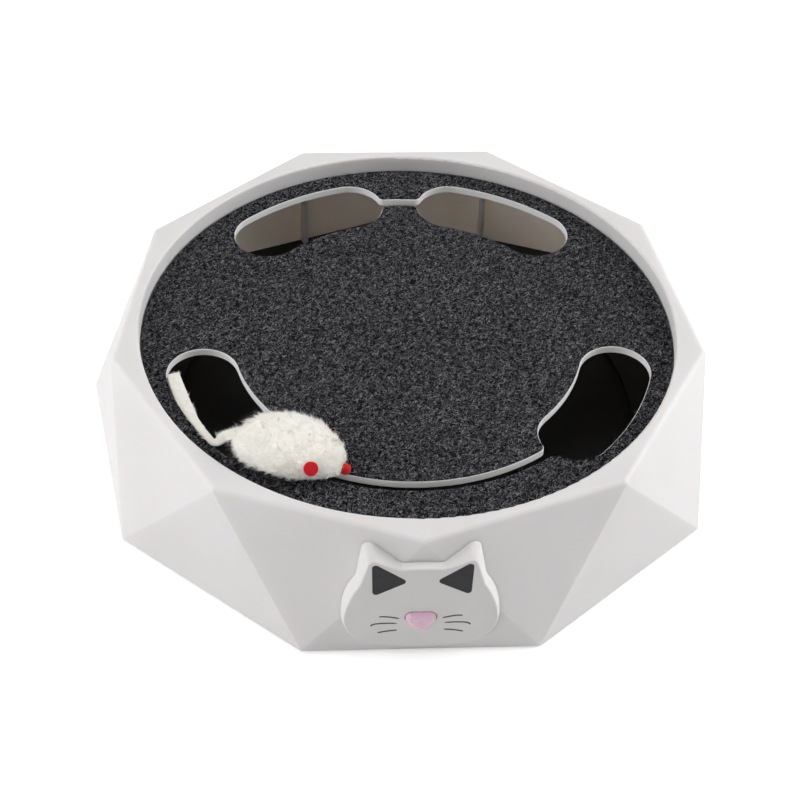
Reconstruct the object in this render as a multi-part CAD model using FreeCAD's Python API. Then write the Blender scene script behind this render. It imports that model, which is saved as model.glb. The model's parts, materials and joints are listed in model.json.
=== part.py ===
import FreeCAD, Part
import math
import os

# Electric spinning mouse toy: a faceted shell with a felt-covered deck, a fur mouse that a
# hidden rotor carries round above it, a geared motor, and a push button in a cat face.
# Millimetres. +Z is up. The model is built about the deck's axis and moved by AXIS_Y at the
# end, so that the origin is the middle of the footprint on the floor.

V = FreeCAD.Vector
UP = V(0, 0, 1)

# Shell
SIDES = 9
TOP_CORNER_R = 129.0
BASE_CORNER_R = 143.0
FOOT_STAND = 1.0
SHELL_H = 59.2
WALL = 2.7
EDGE_R = 2.6
LIP_R = 116.4
LIP_EDGE_R = 1.0
SKIRT_R = 118.6
LEDGE_R = 113.2
LEDGE_T = 2.2
AXIS_Y = -2.5

# Deck and felt
FELT_DROP = 7.8
FELT_T = 2.0
DECK_T = 1.8
DECK_GAP = 0.3
FELT_GAP = 0.5
RIM_T = 0.6
RIM_BELOW_FELT = 0.5
RIM_EDGE_R = 0.2
RIB_DEPTH = 2.0

# Openings in the deck, by angle from the front
TRACK_R = 91.8
LOBE_W = 30.6
SLOT_W = 4.8
FRONT_LOBE = (37.5, 84.2)
BACK_LOBE = (5.3, 51.5)
OPENINGS_TURN = -0.6
SLOT_MOUTH_R = 2.9

# Bottom plate, feet and battery bay
PLATE_T = 2.6
PLATE_GAP = 0.4
PLATE_SET_UP = 1.0
FOOT_R = 7.0
FOOT_RING_R = 112.0
FOOT_SINK = 0.6
BOSS_RING_R = 127.0
BOSS_ANGLES = (20, -20, 100, -100, 180)
LUG_RING_R = 111.8
LUG_ANGLES = (0, 106, -106)
CELL_R = 7.2
CELL_L = 49.5
CELL_PITCH = 15.0
BAY_X = 28.9
BAY_Y0 = 50.0
BAY_Y1 = 95.2
BAY_TOP = 19.2
BAY_WALL = 1.6
DOOR_LIP = 3.4
DOOR_T = 1.6
DOOR_TRAVEL = 6.0
DOOR_PLAY = 0.3

# Cat face, its button and the board behind it, in the front facet's own frame
FACE_SIDE = -0.8
FACE_RISE = 2.1
FACE_LEAN = 2.92
FACE_EDGE_R = 0.9
INLAY_DEPTH = 0.8
NOSE_H = 20.2
NOSE_OUT = 5.1
NOSE_DOME_R = 2.0
NOSE_PLAY = 0.35
BUTTON_BACK = -6.0
BOARD_BACK = -12.0
BOARD_T = 1.6

# Gear train: teeth and modules, with the pinions' profile shift
MOTOR_TEETH, FIRST_WHEEL_TEETH = 10, 40
FIRST_PINION_TEETH, SECOND_WHEEL_TEETH = 10, 40
SECOND_PINION_TEETH, OUTPUT_TEETH = 12, 54
FINE_MODULE = 0.5
COARSE_MODULE = 0.7
FINE_SHIFT = 0.4
COARSE_SHIFT = 0.35
PRESSURE_ANGLE = math.radians(20)
TOOTH_THINNING = 0.09
RUNNING_GAP = 0.05
PIN_R = 1.0
AXLE_R = 2.0
SECOND_BEARING = 0.0
FIRST_BEARING = 60.0
MOTOR_BEARING = 100.0

# Gearbox casing
BOX_X = (-23.0, 42.0)
BOX_Y = (-23.0, 36.0)
BOX_FLOOR = 15.0
BOX_TOP = 37.0
BOX_WALL = 1.8
COVER_T = 1.8
SCREW_SINK = 1.0
CORNER_INSET = 3.5

# Rotor, wire and mouse
MOUSE_ANGLE = -33.0
MOUSE_XY = (-52.4, -76.4)
MOUSE_HEADING = -19.5
MOUSE_L = 47.0
MOUSE_HALF_W = 16.6
MOUSE_HALF_H = 9.0
MOUSE_LIFT = 0.9
WIRE_R = 0.8
WIRE_BEND_R = 4.0
WIRE_Z = 42.0
ARM_TIP_R = 87.0
TAIL_W = 5.6
TAIL_T = 1.2
TAIL_R = 103.9
TAIL_DROP = 1.3
TAIL_ANGLES = (-76.0, -51.0)

# Levels that follow
TOP_Z = FOOT_STAND + SHELL_H
FELT_Z = TOP_Z - FELT_DROP
DECK_Z = FELT_Z - FELT_T
DECK_UNDER = DECK_Z - DECK_T
RIM_Z = FELT_Z - RIM_BELOW_FELT
PLATE_Z = FOOT_STAND + PLATE_SET_UP
PLATE_TOP = PLATE_Z + PLATE_T
ARM_Z = (39.8, 43.0)


def polar(r, angle, z=0.0):
    """A point at an angle from the front, turning to the right."""
    a = math.radians(angle)
    return V(r * math.sin(a), -r * math.cos(a), z)


def cyl(r, z0, z1, at=V(0, 0, 0)):
    return Part.makeCylinder(r, z1 - z0, V(at.x, at.y, z0))


def box(x0, x1, y0, y1, z0, z1):
    return Part.makeBox(x1 - x0, y1 - y0, z1 - z0, V(x0, y0, z0))


def tube(r_in, r_out, z0, z1, at=V(0, 0, 0)):
    return cyl(r_out, z0, z1, at).cut(cyl(r_in, z0 - 1, z1 + 1, at))


def radial_box(angle, r0, r1, width, z0, z1):
    """A box that lies along the radius at an angle."""
    b = box(r0, r1, -width / 2, width / 2, z0, z1)
    b.rotate(V(0, 0, 0), UP, angle - 90)
    return b


def fuse(first, *rest):
    return first.fuse(list(rest)).removeSplitter() if rest else first


def sector(r_in, r_out, a0, a1, z0, z1):
    """A slice of a ring between two angles."""
    mid = (a0 + a1) / 2
    outer = Part.Arc(polar(r_out, a0, z0), polar(r_out, mid, z0), polar(r_out, a1, z0)).toShape()
    inner = Part.Arc(polar(r_in, a1, z0), polar(r_in, mid, z0), polar(r_in, a0, z0)).toShape()
    side_1 = Part.makeLine(polar(r_out, a1, z0), polar(r_in, a1, z0))
    side_0 = Part.makeLine(polar(r_in, a0, z0), polar(r_out, a0, z0))
    face = Part.Face(Part.Wire([outer, side_1, inner, side_0]))
    return face.extrude(V(0, 0, z1 - z0))


def upright_edges(shape):
    return [e for e in shape.Edges
            if len(e.Vertexes) == 2 and abs(e.tangentAt(e.FirstParameter).z) > 0.999]


# Faceted shell

def antiprism(top_r, top_z, base_r, base_z):
    """Nine corners above, nine below between them, and triangles that join them."""
    step = 360.0 / SIDES
    top = [polar(top_r, k * step, top_z) for k in range(SIDES)]
    base = [polar(base_r, (k + 0.5) * step, base_z) for k in range(SIDES)]
    faces = [Part.Face(Part.makePolygon(ring + [ring[0]])) for ring in (top, base)]
    for k in range(SIDES):
        after = (k + 1) % SIDES
        faces.append(Part.Face(Part.makePolygon([top[k], base[k], top[after], top[k]])))
        faces.append(Part.Face(Part.makePolygon([top[k], base[k - 1], base[k], top[k]])))
    solid = Part.makeSolid(Part.makeShell(faces))
    if solid.Volume < 0:
        solid.reverse()
    return solid


def shell_inset(depth, open_below=0.0):
    """The shell's faceted form, drawn in by a depth. The factors hold for its slopes."""
    return antiprism(TOP_CORNER_R - 0.81 * depth, TOP_Z - depth,
                     BASE_CORNER_R - 1.07 * depth, FOOT_STAND - open_below)


def shell_outside():
    """The faceted form with every edge and corner rolled over."""
    core = shell_inset(EDGE_R)
    rolled = core.makeOffsetShape(EDGE_R, 0.001, join=0)
    below = box(-200, 200, -200, 200, FOOT_STAND - 50, FOOT_STAND)
    return rolled.cut(below)


def facet_placement():
    """Across, up and out of the front facet, from the middle of its lower edge."""
    foot = V(0, -BASE_CORNER_R * math.cos(math.radians(180 / SIDES)), FOOT_STAND)
    apex = polar(TOP_CORNER_R, 0, TOP_Z)
    up = (apex - foot).normalize()
    foot.x = FACE_SIDE
    out = V(1, 0, 0).cross(up)
    turn = FreeCAD.Matrix(1, up.x, out.x, foot.x, 0, up.y, out.y, foot.y,
                          0, up.z, out.z, foot.z, 0, 0, 0, 1)
    return FreeCAD.Placement(turn)


def on_facet(shape):
    moved = shape.copy()
    moved.Placement = facet_placement().multiply(moved.Placement)
    return moved


def nose_outline(grow):
    """A triangle with round corners, point down."""
    corners = [V(-9.0, NOSE_H + 3.9, 0), V(9.0, NOSE_H + 3.9, 0), V(0, NOSE_H - 8.6, 0)]
    wire = Part.makePolygon(corners + [corners[0]])
    prism = Part.Face(wire).extrude(UP)
    point = [e for e in upright_edges(prism) if e.Vertexes[0].Point.y < NOSE_H]
    prism = prism.makeFillet(4.0, point)
    sides = [e for e in upright_edges(prism) if abs(e.Vertexes[0].Point.x) > 8.9]
    prism = prism.makeFillet(2.9, sides)
    face = [f for f in prism.Faces if f.CenterOfMass.z < 0.01][0]
    outline = face.OuterWire
    return outline.makeOffset2D(grow) if grow else outline


def nose_prism(grow, z0, z1):
    prism = Part.Face(nose_outline(grow)).extrude(V(0, 0, z1 - z0))
    prism.translate(V(0, 0, z0))
    return prism


BOARD_POSTS = ((-14.0, 24.0), (14.0, 24.0))
FACE_PEGS = ((-20.0, 22.0), (20.0, 22.0))


def faceted_shell():
    outside = shell_outside()
    hollow = shell_inset(WALL)
    shell = outside.cut(hollow).cut(cyl(LIP_R, DECK_UNDER, TOP_Z + 5))
    skirt = tube(LIP_R, SKIRT_R, DECK_UNDER - LEDGE_T, TOP_Z - WALL / 2)
    ledge = tube(LEDGE_R, SKIRT_R, DECK_UNDER - LEDGE_T, DECK_UNDER)
    within = shell_inset(WALL / 2)
    extras = [skirt, ledge]
    for k in range(1, SIDES):
        rib = radial_box(k * 360 / SIDES, 124, 133, 1.8, PLATE_TOP + 1, TOP_Z - WALL / 2)
        extras.append(rib.common(within))
    for angle in BOSS_ANGLES:
        centre = polar(BOSS_RING_R, angle)
        post = cyl(3.8, PLATE_TOP + 2.6, 40, centre)
        web = radial_box(angle, BOSS_RING_R, 142, 1.8, PLATE_TOP + 2.6, 40)
        extras.append(post.fuse(web).common(within))
    for angle in LUG_ANGLES:
        lug = radial_box(angle, LUG_RING_R - 4.4, 117.4, 10, 40.9, 43.4)
        hanger = sector(LIP_R, SKIRT_R, angle - 4, angle + 4, 40.9, DECK_UNDER)
        extras += [lug, hanger]
    shell = fuse(shell, *extras)
    facet_posts = [on_facet(Part.makeCylinder(2.6, -BOARD_BACK - 2, V(x, h, BOARD_BACK)))
                   for x, h in BOARD_POSTS]
    shell = fuse(shell, *facet_posts)
    holes = [on_facet(nose_prism(NOSE_PLAY, -8, 9))]
    holes += [on_facet(Part.makeCylinder(0.9, 7, V(x, h, BOARD_BACK))) for x, h in BOARD_POSTS]
    holes += [on_facet(Part.makeCylinder(1.55, 10, V(x, h, -6))) for x, h in FACE_PEGS]
    for angle in BOSS_ANGLES:
        holes.append(cyl(1.42, PLATE_TOP + 2, 26, polar(BOSS_RING_R, angle)))
    for angle in LUG_ANGLES:
        centre = polar(LUG_RING_R, angle)
        holes += [cyl(1.5, 40, 44, centre), cyl(3.6, 43.4, DECK_UNDER + 1, centre)]
    shell = shell.cut(holes)
    rim = [e for e in shell.Edges if abs(e.BoundBox.ZMin - TOP_Z) < 1e-4
           and abs(e.BoundBox.ZMax - TOP_Z) < 1e-4 and hasattr(e.Curve, "Radius")
           and abs(e.Curve.Radius - LIP_R) < 1e-4]
    return shell.makeFillet(LIP_EDGE_R, rim)


# Deck and felt

def dumbbell(turn, near, far, set_back, z0, z1):
    """A curved slot with a round-ended lobe at each end, about an angle."""
    end_r = LOBE_W / 2 + set_back
    half_slot = SLOT_W / 2 + set_back
    end_angle = math.degrees(LOBE_W / 2 / TRACK_R)
    first, last = near + end_angle, far - end_angle
    solid = sector(TRACK_R - half_slot, TRACK_R + half_slot, -first, first, z0, z1)
    for side in (-1, 1):
        a0, a1 = sorted((side * first, side * last))
        lobe = sector(TRACK_R - end_r, TRACK_R + end_r, a0, a1, z0, z1)
        caps = [cyl(end_r, z0, z1, polar(TRACK_R, a)) for a in (a0, a1)]
        solid = solid.fuse([lobe] + caps)
    solid = solid.removeSplitter()
    mouths = []
    for e in upright_edges(solid):
        p = e.Vertexes[0].Point
        angle = abs(math.degrees(math.atan2(p.x, -p.y)))
        if abs(abs(math.hypot(p.x, p.y) - TRACK_R) - half_slot) < 0.3 and angle < near + 2:
            mouths.append(e)
    solid = solid.makeFillet(SLOT_MOUTH_R - set_back, mouths)
    solid.rotate(V(0, 0, 0), UP, turn + OPENINGS_TURN)
    return solid


def openings(set_back, z0, z1):
    return [dumbbell(0, FRONT_LOBE[0], FRONT_LOBE[1], set_back, z0, z1),
            dumbbell(180, BACK_LOBE[0], BACK_LOBE[1], set_back, z0, z1)]


def deck_panel():
    """The openings have a thin upright rim, which the felt is laid around."""
    rib_z = DECK_UNDER - RIB_DEPTH
    panel = cyl(LIP_R - DECK_GAP, DECK_UNDER, DECK_Z).fuse(openings(RIM_T, DECK_UNDER, RIM_Z))
    panel = panel.cut(openings(0, rib_z - 2, RIM_Z + 1)).removeSplitter()
    brink = [e for e in panel.Edges if e.BoundBox.ZMin > RIM_Z - 1e-4]
    panel = panel.makeFillet(RIM_EDGE_R, brink)
    extras = [tube(AXLE_R + 0.02, 6, DECK_UNDER - 3.8, DECK_UNDER),
              tube(48.8, 50.4, rib_z, DECK_UNDER), tube(109.4, 111.0, rib_z, DECK_UNDER)]
    for k in range(8):
        extras.append(radial_box(22.5 + 45 * k, 5.5, 70, 1.6, rib_z, DECK_UNDER))
    for angle in LUG_ANGLES:
        extras.append(cyl(3.2, 43.4, DECK_UNDER, polar(LUG_RING_R, angle)))
    panel = fuse(panel, *extras)
    pilots = [cyl(1.1, 43, DECK_Z - 1.2, polar(LUG_RING_R, angle)) for angle in LUG_ANGLES]
    return panel.cut(pilots)


def felt_pad():
    pad = cyl(LIP_R - FELT_GAP, DECK_Z, FELT_Z)
    return pad.cut(openings(RIM_T + 0.1, DECK_Z - 1, FELT_Z + 1))


def screw(r_head, h_head, r_shank, length, at, z_head):
    """A pan head that points down, with its shank above it and a cross recess."""
    head = cyl(r_head, z_head, z_head + h_head, at)
    head = head.makeFillet(0.3 * r_head, [e for e in head.Edges if e.BoundBox.ZMax < z_head + 0.01])
    shank = cyl(r_shank, z_head + h_head, z_head + h_head + length, at)
    cross = [box(-0.7 * r_head, 0.7 * r_head, -0.3, 0.3, z_head - 1, z_head + 0.5 * h_head),
             box(-0.3, 0.3, -0.7 * r_head, 0.7 * r_head, z_head - 1, z_head + 0.5 * h_head)]
    for arm in cross:
        arm.translate(V(at.x, at.y, 0))
    return head.fuse(shank).cut(cross)


def deck_screws():
    return [screw(2.6, 1.6, 1.05, 6.5, polar(LUG_RING_R, a), 39.3) for a in LUG_ANGLES]


def housing_screws():
    return [screw(2.9, 1.7, 1.4, 18, polar(BOSS_RING_R, a), PLATE_Z + 0.7) for a in BOSS_ANGLES]


# Bottom plate, feet, batteries and their door

def box_corners():
    return [V(x, y, 0) for x in (BOX_X[0] + CORNER_INSET, BOX_X[1] - CORNER_INSET)
            for y in (BOX_Y[0] + CORNER_INSET, BOX_Y[1] - CORNER_INSET)]


FOOT_ANGLES = (30, 90, 150, -30, -90, -150)
HOOK_Y = (56.0, 80.0)
HOOK_L = 8.0


def bottom_plate():
    slab = box(-160, 160, -160, 160, PLATE_Z, PLATE_TOP)
    plate = shell_inset(WALL + PLATE_GAP).common(slab)
    bay_out = box(-BAY_X - BAY_WALL, BAY_X + BAY_WALL, BAY_Y0 - BAY_WALL, BAY_Y1 + BAY_WALL,
                  PLATE_Z, BAY_TOP + BAY_WALL)
    bay_out = bay_out.makeFillet(2.0, [e for e in bay_out.Edges if e.BoundBox.ZMin > BAY_TOP])
    cups = [cyl(4.6, PLATE_Z, PLATE_TOP + 2.4, polar(BOSS_RING_R, a)) for a in BOSS_ANGLES]
    rim = tube(103.0, 104.6, PLATE_Z, PLATE_TOP + 1.6)
    plate = fuse(plate, bay_out, rim, *cups)
    cuts = [box(-BAY_X, BAY_X, BAY_Y0, BAY_Y1, PLATE_Z - 1, BAY_TOP)]
    cuts.append(box(-BAY_X - DOOR_LIP, BAY_X + DOOR_LIP, BAY_Y0 - DOOR_LIP,
                    BAY_Y1 + DOOR_LIP + DOOR_TRAVEL + 0.8, PLATE_Z - 1, PLATE_Z + DOOR_T + 0.1))
    for a in BOSS_ANGLES:
        cuts += [cyl(3.2, PLATE_Z - 1, PLATE_Z + 2.4, polar(BOSS_RING_R, a)),
                 cyl(1.6, PLATE_Z, PLATE_TOP + 4, polar(BOSS_RING_R, a))]
    for a in FOOT_ANGLES:
        cuts.append(cyl(FOOT_R + 0.1, PLATE_Z - 1, PLATE_Z + FOOT_SINK, polar(FOOT_RING_R, a)))
    for corner in box_corners():
        cuts += [cyl(2.8, PLATE_Z - 1, PLATE_Z + 1.5, corner), cyl(1.2, PLATE_Z, 6, corner)]
    for side in (-1, 1):
        for y in HOOK_Y:
            x0, x1 = sorted((side * (BAY_X - 0.5), side * (BAY_X + BAY_WALL + 0.2)))
            cuts.append(box(x0, x1, y - 0.4, y + HOOK_L + DOOR_TRAVEL + 0.4, PLATE_TOP, 6.8))
            cuts.append(box(x0, x1, y + DOOR_TRAVEL - 0.4, y + HOOK_L + DOOR_TRAVEL + 0.4,
                            PLATE_Z, 6.8))
    wire_notch = box(-BAY_X - BAY_WALL - 1, -BAY_X + 1, 59.5, 65.5, 7.5, 12.5)
    return plate.cut(cuts + [wire_notch])


def battery_door():
    y0 = BAY_Y0 - DOOR_LIP + DOOR_PLAY
    y1 = BAY_Y1 + DOOR_LIP - DOOR_PLAY
    half = BAY_X + DOOR_LIP - DOOR_PLAY
    door = box(-half, half, y0, y1, PLATE_Z, PLATE_Z + DOOR_T)
    door = door.makeFillet(2.0, upright_edges(door))
    hooks = []
    for side in (-1, 1):
        for y in HOOK_Y:
            for reach, low in ((BAY_X - 0.4, PLATE_Z), (BAY_X + 1.2, PLATE_TOP + 0.3)):
                x0, x1 = sorted((side * (BAY_X - 1.6), side * reach))
                hooks.append(box(x0, x1, y, y + HOOK_L, low, 6.2))
    door = fuse(door, *hooks)
    grips = [box(-12, 12, y1 - 5 - 3 * k, y1 - 3.8 - 3 * k, PLATE_Z - 1, PLATE_Z + 0.5)
             for k in range(4)]
    return door.cut(grips)


def cell_places():
    middle = (BAY_Y0 + BAY_Y1) / 2
    return [(middle + (k - 1) * CELL_PITCH, 1 if k % 2 == 0 else -1) for k in range(3)]


CELL_Z = PLATE_Z + DOOR_T + 0.4 + CELL_R


def batteries():
    cells = []
    for y, way in cell_places():
        can = Part.makeCylinder(CELL_R, CELL_L, V(-CELL_L / 2, y, CELL_Z), V(1, 0, 0))
        can = can.makeFillet(0.8, [e for e in can.Edges if len(e.Vertexes) == 1])
        nub = Part.makeCylinder(2.7, 1.4, V(CELL_L / 2, y, CELL_Z), V(1, 0, 0))
        cell = can.fuse(nub)
        if way < 0:
            cell.rotate(V(0, y, CELL_Z), UP, 180)
        cells.append(cell)
    return cells


def battery_contacts():
    """A flat plate at each plus end and a folded leaf that presses on each minus end."""
    leaves = []
    for y, way in cell_places():
        for end in (-1, 1):
            wall = end * (BAY_X - 0.05)
            x0, x1 = sorted((wall, wall - end * 0.4))
            plate = box(x0, x1, y - 5.4, y + 5.4, 7.2, BAY_TOP - 0.4)
            tip = end * (CELL_L / 2 + (1.45 if end == way else 0.05))
            high, low = CELL_Z + 4.2, CELL_Z
            root = V(wall - end * 0.2, y - 3, high)
            side = [root, V(tip, y - 3, low), V(tip + end * 0.4, y - 3, low),
                    root + V(end * 0.2, 0, 0), root]
            leaf = Part.Face(Part.makePolygon(side)).extrude(V(0, 6, 0))
            leaves.append(plate.fuse(leaf))
    return leaves


def rubber_feet():
    feet = []
    for angle in FOOT_ANGLES:
        foot = cyl(FOOT_R, 0, PLATE_Z + FOOT_SINK, polar(FOOT_RING_R, angle))
        feet.append(foot.makeFillet(0.6, [e for e in foot.Edges if e.BoundBox.ZMax < 0.01]))
    return feet


# Cat face, its button, and the board behind it

# The outline at the back and at the front of the block: chin, jaw, cheek, the ear's foot, tip
# and root, and the brow's height. The radii round the ear's foot, tip and root.
FACE_DEPTHS = (-9.0, 6.5)
BACK_OUTLINE = ((0.0, 1.3), (21.6, 3.8), (34.4, 20.8), (26.9, 38.4), (23.3, 56.2), (8.0, 48.7), 49.2)
BACK_RADII = (5.0, 4.2, 1.5)
FRONT_OUTLINE = ((0.0, 4.1), (19.3, 6.5), (30.0, 21.7), (24.6, 39.6), (20.6, 53.7), (8.6, 48.0), 48.4)
FRONT_RADII = (8.0, 2.2, 4.5)
INLAY_CORNERS = ((20.1, 53.0), (5.4, 41.8), (19.6, 33.7))


def tangent_arcs(points, heading):
    """Arcs through the points, each leaving in the direction in which the last arrived."""
    arcs = []
    for (x0, y0), (x1, y1) in zip(points, points[1:]):
        chord = math.atan2(y1 - y0, x1 - x0)
        turn = 2 * (chord - heading)
        bulge = math.hypot(x1 - x0, y1 - y0) / 2 * math.tan(turn / 4)
        arcs.append((V(x0, y0, 0), V((x0 + x1) / 2 + bulge * math.sin(chord),
                                     (y0 + y1) / 2 - bulge * math.cos(chord), 0), V(x1, y1, 0)))
        heading += turn
    return arcs


def cat_outline(points, radii, z):
    """The right half is written out and mirrored."""
    def mirrored(p):
        return V(-p.x, p.y, 0)

    chin, jaw, cheek, foot, tip, root, brow = points
    edges = [Part.Arc(V(-root[0], root[1], 0), V(0, brow, 0), V(root[0], root[1], 0)).toShape()]
    for p, q in ((root, tip), (tip, foot)):
        a, b = V(p[0], p[1], 0), V(q[0], q[1], 0)
        edges += [Part.makeLine(a, b), Part.makeLine(mirrored(a), mirrored(b))]
    for a, middle, b in tangent_arcs((chin, jaw, cheek, foot), 0.0):
        edges.append(Part.Arc(a, middle, b).toShape())
        edges.append(Part.Arc(mirrored(a), mirrored(middle), mirrored(b)).toShape())
    block = Part.Face(Part.Wire(Part.__sortEdges__(edges))).extrude(UP)
    for corner, radius in zip((foot, tip, root), radii):
        sharp = [e for e in upright_edges(block) if abs(e.Vertexes[0].Point.y - corner[1]) < 0.1]
        block = block.makeFillet(radius, sharp)
    wire = [f for f in block.Faces if f.CenterOfMass.z < 0.01][0].OuterWire
    wire.translate(V(0, 0, z))
    return wire


def on_face(shape):
    """From the cat face's own plane, which leans out towards the ears, to the facet's frame."""
    shape.rotate(V(0, 0, 0), V(1, 0, 0), FACE_LEAN)
    shape.translate(V(0, 0, FACE_RISE))
    return shape


def ear_inlay_prism(side, z0, z1):
    """A dark triangle with round corners, pointing at the middle of the face."""
    corners = [V(side * x, h, z0) for x, h in INLAY_CORNERS]
    prism = Part.Face(Part.makePolygon(corners + [corners[0]])).extrude(V(0, 0, z1 - z0))
    return on_face(prism.makeFillet(1.5, upright_edges(prism)))


def cat_face():
    """A block with drafted sides whose front follows the face's plane."""
    back = cat_outline(BACK_OUTLINE, BACK_RADII, FACE_DEPTHS[0])
    front = cat_outline(FRONT_OUTLINE, FRONT_RADII, FACE_DEPTHS[1])
    block = Part.makeLoft([back, front], True, True)
    beyond = on_face(box(-60, 60, -20, 90, 0, 40))
    block = block.cut(beyond)
    slope = math.tan(math.radians(FACE_LEAN))

    def on_front(p):
        return abs(p.z - FACE_RISE / math.cos(math.radians(FACE_LEAN)) - slope * p.y) < 0.03

    brink = [e for e in block.Edges if all(on_front(v.Point) for v in e.Vertexes)]
    block = block.makeFillet(FACE_EDGE_R, brink)
    holes = [nose_prism(NOSE_PLAY, -20, 9)]
    holes += [ear_inlay_prism(side, -INLAY_DEPTH, 2) for side in (-1, 1)]
    block = block.cut(holes)
    face = on_facet(block).cut(shell_outside())
    face = max(face.Solids, key=lambda s: s.Volume)
    pegs = [on_facet(Part.makeCylinder(1.5, 4.6, V(x, h, -4.2))) for x, h in FACE_PEGS]
    return fuse(face, *pegs)


def ear_inlays():
    return [on_facet(ear_inlay_prism(side, -INLAY_DEPTH, 0.05)) for side in (-1, 1)]


def nose_button():
    cap = nose_prism(0, BUTTON_BACK, NOSE_OUT)
    dome = [e for e in cap.Edges if e.BoundBox.ZMin > NOSE_OUT - 0.01]
    cap = cap.makeFillet(NOSE_DOME_R, dome)
    flange = nose_prism(1.3, -WALL - 1.7, -WALL - 0.4)
    return on_facet(cap.fuse(flange))


def switch_plunger():
    return on_facet(Part.makeCylinder(1.6, 2.9, V(0, NOSE_H, BUTTON_BACK - 2.9)))


def switch_body():
    body = box(-3.1, 3.1, NOSE_H - 3.1, NOSE_H + 3.1, BOARD_BACK, -8.4)
    return on_facet(body.cut(Part.makeCylinder(1.7, 4, V(0, NOSE_H, -10.6))))


def control_board():
    back = BOARD_BACK - BOARD_T
    board = box(-18, 18, 8, 31, back, BOARD_BACK)
    plugs = [box(x - 4, x + 4, 8.6, 13, back - 4, back) for x in (-10, 10)]
    chips = [box(-4, 4, 17, 22, back - 1.5, back),
             Part.makeCylinder(2.5, 5, V(9, 22, back - 5)), box(-14, -9, 17, 20, back - 1, back)]
    board = board.fuse(plugs + chips).removeSplitter()
    holes = [Part.makeCylinder(1.1, 6, V(x, h, back - 2)) for x, h in BOARD_POSTS]
    return on_facet(board.cut(holes))


def board_screws():
    screws = []
    for x, h in BOARD_POSTS:
        one = screw(1.9, 1.3, 0.88, 7.4, V(x, h, 0), BOARD_BACK - BOARD_T - 1.3)
        screws.append(on_facet(one))
    return screws


# Gears

def involute(angle):
    return math.tan(angle) - angle


def gear_teeth(teeth, module, shift, z0, z1, bore, phase):
    """A spur gear with involute flanks. A tooth is centred at the phase, in degrees."""
    pitch_r = module * teeth / 2
    base_r = pitch_r * math.cos(PRESSURE_ANGLE)
    tip_r = pitch_r + module * (1 + shift)
    root_r = pitch_r - module * (1.25 - shift)
    thick = module * (math.pi / 2 + 2 * shift * math.tan(PRESSURE_ANGLE)) - TOOTH_THINNING

    def half_angle(r):
        pressure = math.acos(min(1.0, base_r / r))
        return thick / (2 * pitch_r) + involute(PRESSURE_ANGLE) - involute(pressure)

    def point(r, angle):
        a = angle + math.radians(phase)
        return V(r * math.cos(a), r * math.sin(a), z0)

    start_r = max(root_r, base_r)
    mid_r = start_r + 0.45 * (tip_r - start_r)
    step = 2 * math.pi / teeth
    edges = []
    for k in range(teeth):
        a = k * step
        flank = [(r, half_angle(r)) for r in (start_r, mid_r, tip_r)]
        up = [point(r, a - h) for r, h in flank]
        down = [point(r, a + h) for r, h in reversed(flank)]
        root_half = half_angle(start_r)
        foot = point(root_r, a - root_half)
        if start_r > root_r + 1e-6:
            edges.append(Part.makeLine(foot, up[0]))
        edges.append(Part.Arc(*up).toShape())
        edges.append(Part.makeLine(up[2], down[0]))
        edges.append(Part.Arc(*down).toShape())
        back = point(root_r, a + root_half)
        if start_r > root_r + 1e-6:
            edges.append(Part.makeLine(down[2], back))
        edges.append(Part.makeLine(back, point(root_r, a + step - root_half)))
    gear = Part.Face(Part.Wire(edges)).extrude(V(0, 0, z1 - z0))
    return gear.cut(cyl(bore, z0 - 1, z1 + 1))


def bearing_point(start, distance, bearing):
    a = math.radians(bearing)
    return start + V(distance * math.cos(a), distance * math.sin(a), 0)


OUTPUT_AT = V(0, 0, 0)
COARSE_CENTRES = COARSE_MODULE * (SECOND_PINION_TEETH + OUTPUT_TEETH) / 2
FINE_CENTRES = FINE_MODULE * (FIRST_PINION_TEETH + SECOND_WHEEL_TEETH) / 2
SECOND_AT = bearing_point(OUTPUT_AT, COARSE_CENTRES, SECOND_BEARING)
FIRST_AT = bearing_point(SECOND_AT, FINE_CENTRES, FIRST_BEARING)
MOTOR_AT = bearing_point(FIRST_AT, FINE_CENTRES, MOTOR_BEARING)


def facing_gap(teeth, bearing):
    """The phase that puts a gap between teeth at a bearing, for the wheel of a pair."""
    return bearing + 180.0 / teeth


def moved_to(shape, at):
    shape.translate(V(at.x, at.y, 0))
    return shape


def dished(gear, r_in, r_out, z0, z1, depth):
    """A wheel with its web thinned on both faces."""
    return gear.cut([tube(r_in, r_out, z1 - depth, z1 + 1), tube(r_in, r_out, z0 - 1, z0 + depth)])


HUB_R = 6.0
HUB_FLAT = 5.0
HUB_TOP = 43.2


def hub_form(grow, z0, z1):
    """The sleeve's end, round with two flats."""
    flats = box(-HUB_FLAT - grow, HUB_FLAT + grow, -20, 20, z0, z1)
    form = cyl(HUB_R + grow, z0, z1).common(flats)
    form.rotate(V(0, 0, 0), UP, MOUSE_ANGLE)
    return form


def output_gear():
    z0, z1 = 19.5, 24.5
    wheel = gear_teeth(OUTPUT_TEETH, COARSE_MODULE, -COARSE_SHIFT, z0, z1, AXLE_R + RUNNING_GAP,
                       facing_gap(OUTPUT_TEETH, SECOND_BEARING))
    wheel = dished(wheel, 8, 15.6, z0, z1, 1.5)
    windows = [cyl(2.2, z0 - 1, z1 + 1, polar(11.8, 60 * k)) for k in range(6)]
    sleeve = cyl(HUB_R, 19.3, 37.5).fuse(hub_form(0, 37.5, HUB_TOP))
    sleeve = sleeve.cut(cyl(AXLE_R + RUNNING_GAP, 19, 44))
    return fuse(wheel.cut(windows), sleeve)


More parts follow.
